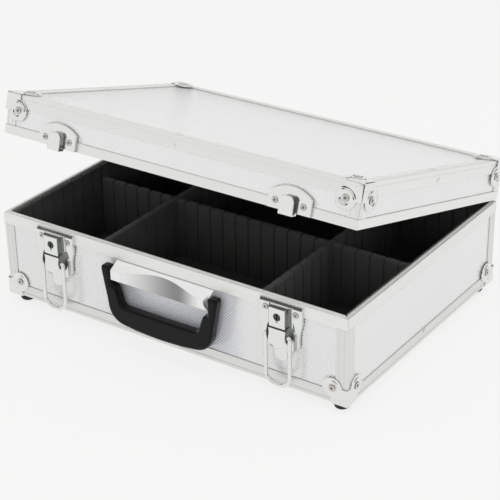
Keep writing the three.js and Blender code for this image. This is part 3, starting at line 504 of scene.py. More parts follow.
# %% Brushed casting
def brushed_metal(name, low, high, dark_patch=None):
    """The last argument says where along x, in millimetres, a painted dark patch is deepest, and how dark it
    gets there: painted shade and a painted reflection of the grip.
    """
    finish, tree, shader = new_finish(name, 0.8, 0.3)
    place = place_on_surface(tree, (1, 1, 0.06))
    grain = noise(tree, place, 1500, 3)
    tone = blend_colours(tree, grain, (low, low, low, 1), (high, high, high * 0.995, 1))
    if dark_patch:
        split = tree.nodes.new("ShaderNodeSeparateXYZ")
        tree.links.new(place, split.inputs[0])
        along = calc(tree, "SUBTRACT", split.outputs[0], dark_patch[0] * MM)
        away = calc(tree, "MAXIMUM", calc(tree, "MULTIPLY", along, -0.46), along)
        near = tree.nodes.new("ShaderNodeMapRange")
        near.interpolation_type = "SMOOTHSTEP"
        near.inputs["From Min"].default_value = 35 * MM
        near.inputs["From Max"].default_value = 0.0
        tree.links.new(away, near.inputs["Value"])
        tone = blend_colours(tree, near.outputs["Result"], tone, (dark_patch[1], dark_patch[1], dark_patch[1], 1))
    tree.links.new(tone, shader.inputs["Base Color"])
    tree.links.new(spread(tree, grain, 0.24, 0.4), shader.inputs["Roughness"])
    bump(tree, shader, grain, 0.00004, 0.5)
    return finish


brushed = brushed_metal("brushed_casting", 0.84, 0.93)
brushed_painted_shade = brushed_metal("brushed_painted_shade", 0.80, 0.90, (21, 0.27))


# %% Plastic and rubber
def moulded(name, colour, roughness, grain_size, depth):
    finish, tree, shader = new_finish(name, 0.0, roughness)
    place = place_on_surface(tree)
    skin = noise(tree, place, grain_size, 2)
    slow = noise(tree, place, 30, 2)
    deeper, paler = (*[c * 0.85 for c in colour], 1), (*[c * 1.2 for c in colour], 1)
    tree.links.new(blend_colours(tree, slow, deeper, paler), shader.inputs["Base Color"])
    tree.links.new(spread(tree, skin, roughness * 0.85, roughness * 1.15), shader.inputs["Roughness"])
    bump(tree, shader, skin, depth, 0.5)
    return finish


black_plastic = moulded("black_grip_plastic", (0.0015, 0.0015, 0.0014), 0.24, 1600, 0.00001)
plastic_shader = black_plastic.node_tree.nodes["Principled BSDF"]
plastic_shader.inputs["Specular IOR Level"].default_value = 0.15
plastic_shader.inputs["Sheen Weight"].default_value = 0.3
plastic_shader.inputs["Sheen Roughness"].default_value = 0.35
rubber = moulded("foot_rubber", (0.014, 0.014, 0.014), 0.7, 900, 0.00006)
print("grip plastic and foot rubber")

# %% [markdown]
# ## Charcoal foam
# Foam takes in nearly all light. It has hardly any gloss, and a faint sheen runs along its edges. In the
# photograph it is darker low in the case, so its colour falls off with height: painted shade, paler than
# charcoal near the top and dark low down, where less light reaches. The ends of the dividers' stiff
# cores are darker still. The hinges, which are plated, are dressed here too.

# %% Foam
FOAM_LOW, FOAM_HIGH, FOAM_GRAIN = 0.02, 0.095, 1800
foam = moulded("charcoal_foam", (0.086, 0.085, 0.083), 0.9, FOAM_GRAIN, 0.00015)
foam_cut = moulded("charcoal_foam_cut_edge", (0.014, 0.014, 0.014), 0.95, FOAM_GRAIN, 0.00015)
foam_tree = foam.node_tree
foam_split = foam_tree.nodes.new("ShaderNodeSeparateXYZ")
foam_tree.links.new(foam_tree.nodes.new("ShaderNodeTexCoord").outputs["Object"], foam_split.inputs[0])
# Painted shade: the foam's colour darkens towards the bottom of the case.
painted_low_shade = foam_tree.nodes.new("ShaderNodeMapRange")
painted_low_shade.inputs["From Min"].default_value = FOAM_LOW
painted_low_shade.inputs["From Max"].default_value = FOAM_HIGH
foam_tree.links.new(foam_split.outputs[2], painted_low_shade.inputs["Value"])
foam_shader = foam_tree.nodes["Principled BSDF"]
foam_tone = foam_shader.inputs["Base Color"].links[0].from_socket
foam_tree.links.new(blend_colours(foam_tree, painted_low_shade.outputs["Result"], (0.026, 0.026, 0.025, 1), foam_tone),
                    foam_shader.inputs["Base Color"])
for foam_finish in (foam, foam_cut):
    foam_finish.node_tree.nodes["Principled BSDF"].inputs["Specular IOR Level"].default_value = 0.1
foam_shader.inputs["Sheen Weight"].default_value = 0.15
foam_shader.inputs["Sheen Roughness"].default_value = 0.5
for side in ("left", "right"):
    for leaf in ("hinge_base", "hinge_lid"):
        dress(f"{leaf}_{side}", chrome, 0.2)
print("fittings' finishes:", 11)

# %% [markdown]
# ## Ribbed foam lining
# The walls and the dividers are charcoal foam sheets pressed into upright ribs, so that a divider's end
# can be pushed into any groove. A ribbed sheet is a flat slab at first. Straight cuts mark the
# edges of the grooves. The faces between the cuts, on the top too, are extruded, which leaves the
# grooves behind. The top of every rib gets a wide bevel, as foam does where it is cut, and a finer
# one softens the rest.

# %% Helpers for modelling a slab
def block(name, x, y, z):
    """A cube added at its size and place, given as ranges in the case's millimetres."""
    rest()
    centre = [(low + high) / 2 * MM for low, high in (x, y, z)]
    size = [(high - low) * MM for low, high in (x, y, z)]
    bpy.ops.mesh.primitive_cube_add(size=1, location=centre, scale=size)
    piece = bpy.context.object
    piece.name = piece.data.name = name
    return apply_place(piece)


def edit(piece, element="FACE"):
    pick(piece)
    bpy.ops.object.mode_set(mode="EDIT")
    bpy.ops.mesh.select_mode(type=element)
    bpy.ops.mesh.select_all(action="SELECT")


def straight_cuts(places, axis):
    """Cut the whole piece straight through at each place along one axis."""
    for place in places:
        point, normal = [0, 0, 0], [0, 0, 0]
        point[axis], normal[axis] = place * MM, 1
        bpy.ops.mesh.select_all(action="SELECT")
        bpy.ops.mesh.bisect(plane_co=point, plane_no=normal)


def select_faces(piece, test):
    """Select the faces whose centre (millimetres) and normal pass a test."""
    bpy.ops.mesh.select_all(action="DESELECT")
    bpy.ops.object.mode_set(mode="OBJECT")
    for face in piece.data.polygons:
        face.select = test(face.center / MM, face.normal)
    bpy.ops.object.mode_set(mode="EDIT")


def extrude(x=0, y=0, z=0):
    bpy.ops.mesh.extrude_region_move(TRANSFORM_OT_translate={"value": (x * MM, y * MM, z * MM)})


def apply_modifiers(piece):
    pick(piece)
    for modifier in list(piece.modifiers):
        bpy.ops.object.modifier_apply(modifier=modifier.name)
    return piece


def round_edges(piece, width, segments=2, angle=35, smooth=None):
    """A bevel on every edge sharper than an angle, smooth shading and flats that stay flat."""
    edge = piece.modifiers.new("round_edges", "BEVEL")
    edge.width = width * MM
    edge.segments = segments
    edge.limit_method = "ANGLE"
    edge.angle_limit = math.radians(angle)
    apply_modifiers(piece)
    bpy.ops.object.shade_smooth_by_angle(angle=math.radians(smooth or angle))
    flats = piece.modifiers.new("keep_flats_flat", "WEIGHTED_NORMAL")
    flats.keep_sharp = True
    return apply_modifiers(piece)


def give(piece, finish, slot, body, *nodes):
    """The last step of every piece: its finish if it has none, its body and the node it stands for, which is
    hidden. The slot is not used.
    """
    if not piece.data.materials:
        piece.data.materials.append(finish)
    if nodes:
        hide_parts(*nodes)
    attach(piece, body)
    rest()
    return piece


# %% A ribbed sheet
RIB_PITCH, RIB_GROOVE, TOP_NOTCH = 18.0, 2.0, 2.0


def ribbed_sheet(name, half_length, z, web, rib, grooves, sides):
    """A sheet along x whose web fills y, with ribs standing out to each side that is named."""
    sheet = block(name, (-half_length, half_length), web, (z[0], z[1] - TOP_NOTCH))
    edit(sheet)
    straight_cuts([at + step for at in grooves for step in (-RIB_GROOVE / 2, RIB_GROOVE / 2)], 0)

    def between_grooves(centre):
        return all(abs(centre.x - at) > RIB_GROOVE / 2 for at in grooves)

    select_faces(sheet, lambda centre, normal: normal.z > 0.9 and between_grooves(centre))
    extrude(z=TOP_NOTCH)
    for side in sides:
        select_faces(sheet, lambda centre, normal: normal.y * side > 0.9 and between_grooves(centre))
        extrude(y=rib * side)
    faces = [web[0] - rib if side < 0 else web[1] + rib for side in sides]
    bpy.ops.mesh.select_mode(type="EDGE")
    bpy.ops.mesh.select_all(action="DESELECT")
    bpy.ops.object.mode_set(mode="OBJECT")
    for edge in sheet.data.edges:
        ends = [sheet.data.vertices[index].co / MM for index in edge.vertices]
        at_top = all(abs(end.z - z[1]) < 0.01 for end in ends)
        edge.select = at_top and any(all(abs(end.y - y) < 0.01 for end in ends) for y in faces)
    bpy.ops.object.mode_set(mode="EDIT")
    bpy.ops.mesh.bevel(offset=(rib - 0.1) * MM, segments=4, affect="EDGES")
    return sheet


FLOOR_FOAM_TOP, LINER_TOP = 11.2, 101.7
LINER_BACK, LINER_WEB, LINER_RIB = 5.3, 2.2, 2.4
LINER_HALF = {"front": HALF_WIDTH - LINER_BACK, "rear": HALF_WIDTH - LINER_BACK,
              "left": 155.0, "right": 155.0}
LINER_TURN = {"front": 0, "rear": 180, "left": -90, "right": 90}
LINER_PLACE = {"front": (0, LINER_BACK), "rear": (0, CASE_DEPTH - LINER_BACK),
               "left": (LINER_BACK - HALF_WIDTH, CASE_DEPTH / 2),
               "right": (HALF_WIDTH - LINER_BACK, CASE_DEPTH / 2)}
for side, half in LINER_HALF.items():
    count = int((half - RIB_GROOVE) // RIB_PITCH)
    liner = ribbed_sheet(f"foam_liner_{side}", half, (FLOOR_FOAM_TOP + 0.1, LINER_TOP), (0, LINER_WEB),
                         LINER_RIB, [i * RIB_PITCH for i in range(-count, count + 1)], (1,))
    round_edges(liner, 0.95, 3)
    liner.rotation_euler = Euler((0, 0, math.radians(LINER_TURN[side])))
    liner.location = Vector((*LINER_PLACE[side], 0)) * MM
    apply_place(liner)
    seat_on_base(liner)
    give(liner, foam, "foam", "base", f"liner_{side}")
    print(liner.name, "grooves", 2 * count + 1, "faces", len(liner.data.polygons))

# %% [markdown]
# ## Dividers
# Three dividers stand in the base: two from front to back and one across. Each is two ribbed sheets
# on a thin stiff core, and only the core's bare ends reach into the grooves of the walls. Where they
# cross, the long one is open from above and the short ones from below, so they are halved into
# each other like the dividers of a bottle box. The notches are cut with a Boolean modifier.

# %% Cutting and joining
def subtract(piece, *cutters):
    """Cut the other pieces out of this one and throw them away."""
    for cutter in cutters:
        cut = piece.modifiers.new("cut", "BOOLEAN")
        cut.operation = "DIFFERENCE"
        cut.solver = "EXACT"
        cut.object = cutter
    apply_modifiers(piece)
    for cutter in cutters:
        bpy.data.objects.remove(cutter, do_unlink=True)
    return piece


def join(name, pieces):
    """Several solids become one object; they keep their own finishes."""
    rest()
    for piece in pieces:
        piece.select_set(True)
    bpy.context.view_layer.objects.active = pieces[0]
    bpy.ops.object.join()
    pieces[0].name = pieces[0].data.name = name
    return pieces[0]


# %% The three dividers
DIVIDER_Z = (FLOOR_FOAM_TOP + 0.1, FLOOR_FOAM_TOP + 75.1)
DIVIDER_WEB, DIVIDER_RIB, DIVIDER_HALF = (-1.9, 1.9), 2.1, 4.0
NOTCH_HALF = DIVIDER_HALF + 0.3
HALVED_AT = DIVIDER_Z[0] + 37.5
DIVIDER_X = 108.0


def divider(name, half_foam, half_core, notches, notch_z):
    """A double-sided ribbed sheet with bare core ends, notched at places along its length."""
    grooves = [-half_foam + i * RIB_PITCH for i in range(1, int(2 * half_foam / RIB_PITCH))]
    foam_part = ribbed_sheet(name, half_foam, DIVIDER_Z, DIVIDER_WEB, DIVIDER_RIB, grooves, (1, -1))
    cutters = [block("notch", (at - NOTCH_HALF, at + NOTCH_HALF), (-9, 9), notch_z) for at in notches]
    subtract(foam_part, *cutters)
    round_edges(foam_part, 0.95, 3)
    foam_part.data.materials.append(foam)
    ends = [block("core_end", sorted((side * half_core, side * (half_foam - 1))), (-0.9, 0.9),
                  (DIVIDER_Z[0] + 0.5, DIVIDER_Z[1] - 3)) for side in (-1, 1)]
    for end in ends:
        end.data.materials.append(foam_cut)
    return join(name, [foam_part, *ends])


def stand(piece, x, turn, *nodes):
    piece.rotation_euler = Euler((0, 0, math.radians(turn)))
    piece.location = Vector((x, CASE_DEPTH / 2, 0)) * MM
    apply_place(piece)
    seat_on_base(piece)
    give(piece, foam, "foam", "base", *nodes)
    print(piece.name, "faces", len(piece.data.polygons))


across = divider("foam_divider_cross", 217.5, 222.0, (-DIVIDER_X, DIVIDER_X), (HALVED_AT, DIVIDER_Z[1] + 5))
stand(across, 0, 0, "divider_cross")
for side, x in (("left", -DIVIDER_X), ("right", DIVIDER_X)):
    lengthwise = divider(f"foam_divider_{side}", 153.0, 157.0, (0,), (DIVIDER_Z[0] - 5, HALVED_AT + 0.3))
    stand(lengthwise, x, 90, f"divider_{side}")

# %% [markdown]
# ## Floor and lid pads
# The floor of the case and the inside of the lid carry plain foam pads. A pad is never perfectly
# flat: it is crowned a little, thin at its rim and slightly uneven. A block is subdivided, its
# middle is lifted with a falloff towards the rim, and a bevel gives it a soft edge.

# %% Crowned pads
def crowned_pad(name, x, y, z, crown, up):
    """A foam pad between ranges, crowned on its upper (1) or lower (-1) face."""
    low, high = z
    pad = block(name, x, y, (low, high - crown) if up > 0 else (low + crown, high))
    edit(pad)
    steps_x = [x[0] + (x[1] - x[0]) * i / 14 for i in range(1, 14)]
    steps_y = [y[0] + (y[1] - y[0]) * i / 10 for i in range(1, 10)]
    straight_cuts(steps_x, 0)
    straight_cuts(steps_y, 1)
    bpy.ops.object.mode_set(mode="OBJECT")
    middle, half = (x[0] + x[1]) / 2, (x[1] - x[0]) / 2
    centre, reach = (y[0] + y[1]) / 2, (y[1] - y[0]) / 2
    for vertex in pad.data.vertices:
        across_share = 1 - abs((vertex.co.x / MM - middle) / half) ** 6
        deep_share = 1 - abs((vertex.co.y / MM - centre) / reach) ** 6
        ripple = 0.85 + 0.15 * math.sin(vertex.co.x / MM * 0.05) * math.cos(vertex.co.y / MM * 0.04)
        face = high - crown if up > 0 else low + crown
        if abs(vertex.co.z / MM - face) < 0.01:
            vertex.co.z += up * crown * across_share * deep_share * ripple * MM
    return round_edges(pad, 1.6, 3, 50)


PAD_HALF = HALF_WIDTH - LINER_BACK
floor_foam = crowned_pad("foam_floor", (-PAD_HALF, PAD_HALF), (LINER_BACK, CASE_DEPTH - LINER_BACK),
                         (5.2, FLOOR_FOAM_TOP), 0.6, 1)
seat_on_base(floor_foam)
give(floor_foam, foam, "foam", "base", "floor_pad")
LID_PAD_TOP = LID_TOP - 5.4
lid_foam = crowned_pad("foam_lid", (-221.5, 221.5), (8.5, CASE_DEPTH - 8.5),
                       (LID_PAD_TOP - 5, LID_PAD_TOP), 1, -1)
seat_on_lid(lid_foam)
give(lid_foam, foam, "foam", "lid", "lid_pad")
print("pads:", [len(pad.data.polygons) for pad in (floor_foam, lid_foam)], "faces")

# %% [markdown]
# ## Drawing an outline
# Many fittings are an outline with a thickness: a pressed plate, a lever, a grip. One point is placed,
# and it is extruded from corner to corner until the outline is drawn. The outline is then
# filled and extruded, as one does by hand.

# %% Outline tools
def trace(name, points):
    """A chain of edges through points (x, y, z) in the case's millimetres, drawn by extruding a point."""
    rest()
    bpy.ops.mesh.primitive_plane_add(size=1 * MM, location=(0, 0, 0))
    piece = bpy.context.object
    piece.name = piece.data.name = name
    edit(piece, "VERT")
    bpy.ops.mesh.merge(type="CENTER")
    bpy.ops.transform.translate(value=Vector(points[0]) * MM)
    for start, end in zip(points, points[1:]):
        bpy.ops.mesh.extrude_region_move(
            TRANSFORM_OT_translate={"value": (Vector(end) - Vector(start)) * MM})
    return piece


def tidy(piece):
    """Merge doubles, turn every face outwards and leave edit mode."""
    edit(piece)
    bpy.ops.mesh.remove_doubles(threshold=0.00001)
    bpy.ops.mesh.normals_make_consistent(inside=False)
    return pick(piece)


def plate(name, points, thickness):
    """A filled outline, extruded by a vector."""
    piece = trace(name, points)
    bpy.ops.mesh.select_all(action="SELECT")
    bpy.ops.mesh.edge_face_add()
    extrude(*thickness)
    return tidy(piece)


def turned(name, profile, centre, axis, steps=32):
    """A profile of (radius, height) points spun about an axis through a centre, as on a lathe."""
    axis = Vector(axis).normalized()
    out = axis.orthogonal().normalized()
    centre = Vector(centre)
    piece = trace(name, [centre + out * radius + axis * height for radius, height in profile])
    bpy.ops.mesh.select_all(action="SELECT")
    bpy.ops.mesh.spin(steps=steps, angle=2 * math.pi, center=centre * MM, axis=axis)
    return tidy(piece)


def arc(centre, radius, start, end, steps):
    """Points on a circle in degrees, for an outline."""
    angles = [math.radians(start + (end - start) * i / steps) for i in range(steps + 1)]
    return [(centre[0] + radius * math.cos(a), centre[1] + radius * math.sin(a)) for a in angles]


def curve(start, pull, end, steps):
    """Points on a curve that leaves start towards pull and arrives at end from it."""
    return [tuple((1 - t) ** 2 * a + 2 * t * (1 - t) * b + t * t * c for a, b, c in zip(start, pull, end))
            for t in (i / steps for i in range(1, steps + 1))]


# %% [markdown]
# ## Carry grip
# The grip is a moulded U of satin black plastic. Its arms are thick at the pivots and lean inwards,
# its lower corners are wide curves, and the bar sags a little. Every edge is strongly
# rounded, which gives the soft light line along the window. The outline of one half is drawn and
# mirrored, extruded to the thickness, and given a wide bevel of several segments.

# %% Grip
PIVOT_Y, PIVOT_Z = -8.5, 78.0
GRIP_HALF_THICKNESS = 6.0
outer_half = [(77.5, 84.0), (77.5, 78.0), (74.4, 61.0), (71.4, 46.0), (70.3, 38.5)]
outer_half += curve((70.3, 38.5), (68.0, 18.0), (48.0, 15.4), 9)
outer_half += curve((48.0, 15.4), (24.0, 12.2), (0.0, 12.2), 7)
inner_half = [(65.4, 84.0), (65.4, 62.4), (62.6, 61.4), (59.0, 61.0), (56.0, 52.5), (53.6, 44.6)]
inner_half += curve((53.6, 44.6), (52.4, 38.4), (46.5, 38.0), 6)
inner_half += [(24.0, 37.7), (0.0, 37.6)]
grip_outline = outer_half + [(-x, z) for x, z in reversed(outer_half[:-1])]
grip_outline += [(-x, z) for x, z in inner_half] + list(reversed(inner_half[:-1]))
back_y = PIVOT_Y + GRIP_HALF_THICKNESS
grip = plate("grip", [(x, back_y, z) for x, z in grip_outline], (0, -2 * GRIP_HALF_THICKNESS, 0))
round_edges(grip, 3.1, 5, 38)
socket_holes = [turned("hole", [(0, 0), (2.7, 0), (2.7, side * 8.6), (0, side * 8.6)],
                       (side * 64.4, PIVOT_Y, PIVOT_Z), (1, 0, 0), 24) for side in (-1, 1)]
subtract(grip, *socket_holes)
bpy.ops.object.shade_smooth_by_angle(angle=math.radians(38))
seat_on_base(grip)
give(grip, black_plastic, "black_plastic", "handle", "handle_grip")
print("grip faces", len(grip.data.polygons))

# %% [markdown]
# ## Handle bracket
# The bar that carries the grip is cast and brushed. Its section is a low wedge: a back on the skin, a
# top that slopes to a blunt nose and an undercut. In front a long shallow arc is scooped out for the
# fingers, and the right end has a round bite beside the grip's arm. The section is extruded along
# the bar, and the scoop and the bite are cut from it with drawn cutters. The scoop's faces get a
# darker copy of the finish with a painted dark patch: painted shade and a painted reflection of the grip.

# %% Bracket
BAR_HALF, BAR_TOP, BAR_BOTTOM = 65.0, 87.6, 62.1
NOSE_Y, NOSE_TOP, NOSE_BOTTOM = -13.0, 80.1, 68.6
section = [(1.0, BAR_BOTTOM), (1.0, BAR_TOP), (-0.2, BAR_TOP), (NOSE_Y, NOSE_TOP), (NOSE_Y, NOSE_BOTTOM),
           (-3.5, BAR_BOTTOM)]
bracket = plate("bracket", [(-BAR_HALF, y, z) for y, z in section], (2 * BAR_HALF, 0, 0))
SCOOP_HALF, SCOOP_Y = 57.0, -4.0
scoop_line = [(SCOOP_HALF * t, SCOOP_Y + (NOSE_Y - 0.1 - SCOOP_Y) * t * t * (2 - t * t))
              for t in (i / 24 - 1 for i in range(49))]
scoop_line += [(SCOOP_HALF, NOSE_Y - 4), (-SCOOP_HALF, NOSE_Y - 4)]
scoop = plate("scoop", [(x, y, BAR_BOTTOM - 2) for x, y in scoop_line], (0, 0, 30))
bite = turned("bite", [(0, 0), (8.5, 0), (8.5, 8), (0, 8)], (68.5, NOSE_Y - 2.5, 77.0), (0, 1, 0), 32)
subtract(bracket, scoop, bite)
round_edges(bracket, 0.55, 3, 30)
bracket.data.materials.append(brushed)
bracket.data.materials.append(brushed_painted_shade)
# The scoop's front faces take the darker copy: painted shade and a painted reflection of the grip.
for face in bracket.data.polygons:
    hollow = face.normal.y < -0.6 and face.center.y > (NOSE_Y + 0.2) * MM
    face.material_index = 1 if hollow else 0
pins = [turned("pin", [(0, 0), (2.4, 0), (2.4, side * 10), (0, side * 10)], (side * 62.5, PIVOT_Y, PIVOT_Z),
               (1, 0, 0), 20) for side in (-1, 1)]
# The pins take the same dark grey, painted shade in the grip's sockets.
for pin in pins:
    pin.data.materials.append(painted_shade_grey)
bracket = join("bracket", [bracket, *pins])
seat_on_base(bracket)
give(bracket, brushed, "cast_bracket", "base", "handle_bracket")
print("bracket faces", len(bracket.data.polygons))

# %% [markdown]
# ## Latches
# A draw latch is four things: a pressed plate with a lock housing on it, a lever, a wire bail and a
# lock barrel. The plate narrows in steps towards its foot, and two rivets hold it. The housing
# flares out to the plate at its sides, has a keyhole in front, and two ears below it carry the lever and
# the bail. One latch is modelled round x = 0 and copied to both places, each copy with its own mesh.

# %% Rivets and cutters
def rivet(centre, outward, radius, height=1.1):
    """A tubular rivet: a domed ring with a small hollow in the middle."""
    profile = [(0, -0.6), (radius, -0.6), (radius, 0.25), (radius * 0.93, 0.62), (radius * 0.74, height),
               (radius * 0.5, height), (radius * 0.38, height * 0.72), (radius * 0.3, 0.3), (0, 0.22)]
    head = turned("rivet", profile, centre, outward, 28)
    head.data.materials.append(rivet_metal)
    head.data.materials.append(painted_shade_grey)
    axis = Vector(outward)
    # Painted shade: the hollow in the middle and the ring round the rim take the dark grey.
    for face in head.data.polygons:
        offset = face.center / MM - Vector(centre)
        away = (offset - offset.dot(axis) * axis).length
        face.material_index = 1 if away < radius * 0.42 or away > radius * 0.93 else 0
    bpy.ops.object.shade_smooth_by_angle(angle=math.radians(50))
    return head


def mirrored(half):
    """Both halves of an outline drawn as (x, z) from the top middle down the right-hand side."""
    return half + [(-x, z) for x, z in reversed(half) if x > 0.01]


def at_depth(outline, y):
    return [(x, y, z) for x, z in outline]


def sloped_cut(front, top, drop):
    """A wedge that slopes a part's upper front edge back over a height in millimetres."""
    wedge = [(front - 1, top + 1), (front - 1, top - drop), (front, top - drop), (front + drop * 0.63, top),
             (front + drop * 0.63, top + 1)]
    return plate("wedge", [(-30, y, z) for y, z in wedge], (60, 0, 0))


# %% Latch plate and lock housing
PLATE_TOP, PLATE_FACE = 100.2, -3.9
LOCK_BOTTOM, LOCK_TOP, LOCK_FRONT = 74.5, 97.6, -11.0
plate_half = [(26, PLATE_TOP), (26, 81.5)] + curve((26, 81.5), (25.6, 78.2), (23.4, 70.5), 4)
plate_half += curve((23.4, 70.5), (22.5, 66), (22.5, 62), 3) + [(22.5, 53.6)]
plate_half += curve((22.5, 53.6), (22.3, 51.6), (20.6, 50.6), 3) + [(14.6, 45.4)]
plate_half += curve((14.6, 45.4), (14.2, 45.0), (10.4, 45.0), 2) + arc((0, 40.6), 8.4, 20, -90, 9)
latch_plate = plate("latch_plate", at_depth(mirrored(plate_half), -0.1), (0, PLATE_FACE + 0.1, 0))
subtract(latch_plate, sloped_cut(PLATE_FACE, PLATE_TOP, 3.0))
round_edges(latch_plate, 0.5, 3, 62, 28)
housing_side = [(15.2, PLATE_FACE + 1), (15.2, PLATE_FACE - 0.05)]
housing_side += curve((15.2, PLATE_FACE - 0.05), (11.6, PLATE_FACE - 0.2), (11.0, -6.6), 5)
housing_side += [(10.6, -9.4)] + curve((10.6, -9.4), (10.5, LOCK_FRONT), (9.0, LOCK_FRONT), 4)
housing_line = [(-x, y, LOCK_BOTTOM) for x, y in housing_side]
housing_line += [(x, y, LOCK_BOTTOM) for x, y in reversed(housing_side)]
housing = plate("housing", housing_line, (0, 0, LOCK_TOP - LOCK_BOTTOM))
BARREL_Z = 86.5
bore = turned("bore", [(0, 1), (4.4, 1), (4.4, -6.3), (0, -6.3)], (0, LOCK_FRONT, BARREL_Z), (0, -1, 0), 40)
key_notch = block("key_notch", (-1.0, 1.0), (LOCK_FRONT - 1, LOCK_FRONT + 2), (79.9, BARREL_Z))
subtract(housing, bore, key_notch, sloped_cut(LOCK_FRONT, LOCK_TOP, 1.2))
round_edges(housing, 0.3, 3, 62, 28)
ears = []
for side in (-1, 1):
    ear_line = [(-2.9, 76.0), (-9.6, 76.0), (-11.0, 73.6), (-12.3, 69.4)]
    ear_line += curve((-12.3, 69.4), (-13.9, 64.6), (-11.6, 60.6), 6) + [(-7.2, 54.6), (-2.9, 52.8)]
    ear = plate("ear", [(side * 10.8, y, z) for y, z in ear_line], (side * 1.4, 0, 0))
    hole = turned("hole", [(0, 0), (2.6, 0), (2.6, side * 6), (0, side * 6)],
                  (side * 8, -9.5, 65.0), (1, 0, 0), 20)
    subtract(ear, hole)
    ears.append(round_edges(ear, 0.3, 2, 40))
plate_rivets = [rivet((side * 18.6, PLATE_FACE, 91.0), (0, -1, 0), 3.7) for side in (-1, 1)]
for piece in (latch_plate, housing, *ears):
    piece.data.materials.append(chrome)
housing.data.materials.append(painted_shade_plating)
# Painted dark reflection: the housing's flared sides take the dark plating.
for face in housing.data.polygons:
    flare = abs(face.normal.x) > 0.3 and face.normal.z < 0.3 and abs(face.center.x) > 9.8 * MM
    face.material_index = 1 if flare else 0
# Painted shade on the ears: their outer faces take the dark plating, and their inner faces and upper edges
# the dark steel.
for ear in ears:
    ear.data.materials.clear()
    ear.data.materials.append(painted_shade_plating)
    ear.data.materials.append(lock_steel)
    for face in ear.data.polygons:
        inner = face.normal.x * face.center.x < 0
        edge = abs(face.normal.x) < 0.7 and face.center.z > 66.5 * MM
        face.material_index = 1 if inner or edge else 0
latch_plate = join("latch_plate", [latch_plate, housing, *ears, *plate_rivets])
print("latch plate faces", len(latch_plate.data.polygons))

# %% Lever
AXIS_Y, AXIS_Z, LEVER_HALF = -8.0, 71.2, 10.5
lever_line = arc((AXIS_Y, AXIS_Z), 3.0, 180, -60, 14)
lever_line += [(-9.0, 67.4), (-9.0, 61.0)] + curve((-9.0, 61.0), (-9.4, 57.6), (-11.9, 52.6), 5)
lever_line += [(-13.9, 52.6)] + curve((-13.9, 52.6), (-11.6, 57.6), (-11.25, 61.2), 5)
lever = plate("lever", [(-LEVER_HALF, y, z) for y, z in lever_line], (2 * LEVER_HALF, 0, 0))
tongue_half = [(12, 78), (12, 63), (10.5, 61.5)] + curve((10.5, 61.5), (10.0, 53.4), (0.0, 52.6), 10)
waste = plate("waste", at_depth([(14, 62.9), (14, 48)] + [(-14, 48), (-14, 62.9)]
                                + [(-x, z) for x, z in tongue_half[1:]]
                                + [(x, z) for x, z in reversed(tongue_half[1:-1])], -20), (0, 16, 0))
bpy.ops.mesh.primitive_uv_sphere_add(segments=40, ring_count=20, radius=24 * MM,
                                     location=(0, -34.2 * MM, 63.5 * MM))
thumb_dip = apply_place(bpy.context.object)
subtract(lever, waste, thumb_dip)
round_edges(lever, 0.3, 2, 40)
lever.data.materials.append(chrome)
lever.data.materials.append(lock_steel)
# Painted shadow: the top of the lever's roll, under the housing, takes the dark steel.
for face in lever.data.polygons:
    face.material_index = 1 if face.normal.z > 0.4 and face.center.z > AXIS_Z * MM else 0
print("lever faces", len(lever.data.polygons))

# %% [markdown]
# ## Wire bails
# The bail is one round wire, bent like a long hairpin, with its ends turned in through the ears. A
# wire is easiest as a path: the points are drawn, the path is made a curve with a round section
# and closed ends, and the curve is made a mesh again.

# %% Bail and barrel
BAIL_Y, BAIL_Z, BAIL_HALF, WIRE_RADIUS = -9.5, 65.0, 14.9, 2.3
BAIL_LOW, BAIL_CORNER = 6.0, 12.0
wire = [(-11.0, BAIL_Z), (-11.9, BAIL_Z)] + arc((-12.3, 62.4), 2.6, 90, 180, 6)[1:]
wire += [(-BAIL_HALF, z) for z in (58.0, 50.0, 40.0, 30.0, BAIL_LOW + BAIL_CORNER)]
wire += arc((-BAIL_HALF + BAIL_CORNER, BAIL_LOW + BAIL_CORNER), BAIL_CORNER, 180, 270, 10)[1:]
wire += [(-x, z) for x, z in reversed(wire)]
bail = trace("bail", at_depth(wire, BAIL_Y))
pick(bail)
bpy.ops.object.convert(target="CURVE")
bail = bpy.context.object
bail.data.bevel_depth = WIRE_RADIUS * MM
bail.data.bevel_resolution = 4
bail.data.use_fill_caps = True
bpy.ops.object.convert(target="MESH")
bail = tidy(bpy.context.object)
bpy.ops.object.shade_smooth_by_angle(angle=math.radians(60))
bail.data.materials.append(chrome)
barrel = turned("barrel", [(0, 6), (4.0, 6), (4.0, -0.1), (3.75, -0.3), (3.3, -0.3), (3.1, 0.1), (0, 0.15)],
                (0, LOCK_FRONT, BARREL_Z), (0, 1, 0), 36)
subtract(barrel, block("key_slot", (-0.7, 0.7), (LOCK_FRONT - 1, LOCK_FRONT + 2), (83.6, 89.4)))
bpy.ops.object.shade_smooth_by_angle(angle=math.radians(35))
barrel.data.materials.append(lock_steel)
print("bail faces", len(bail.data.polygons), "barrel faces", len(barrel.data.polygons))


# %% Copy the latch to both sides
def copy_to(piece, name, x=0.0):
    """A copy with its own mesh, moved along the case."""
    twin = piece.copy()
    twin.data = piece.data.copy()
    twin.name = twin.data.name = name
    bpy.context.collection.objects.link(twin)
    twin.location = (x * MM, 0, 0)
    return apply_place(twin)


LATCH_X = 151.5
for side, x in (("left", -LATCH_X), ("right", LATCH_X)):
    for piece, label, slot, body in ((latch_plate, "latch_plate", "chrome", "base"),
                                     (lever, "latch_lever", "chrome", f"lever_{side}"),
                                     (bail, "latch_bail", "chrome", f"bail_{side}"),
                                     (barrel, "lock_barrel", "lock_steel", f"barrel_{side}")):
        copy = seat_on_base(copy_to(piece, f"{label}_{side}_made", x))
        give(copy, chrome, slot, body, f"{label}_{side}")
for piece in (latch_plate, lever, bail, barrel):
    bpy.data.objects.remove(piece, do_unlink=True)
print("two latches placed at x", LATCH_X)

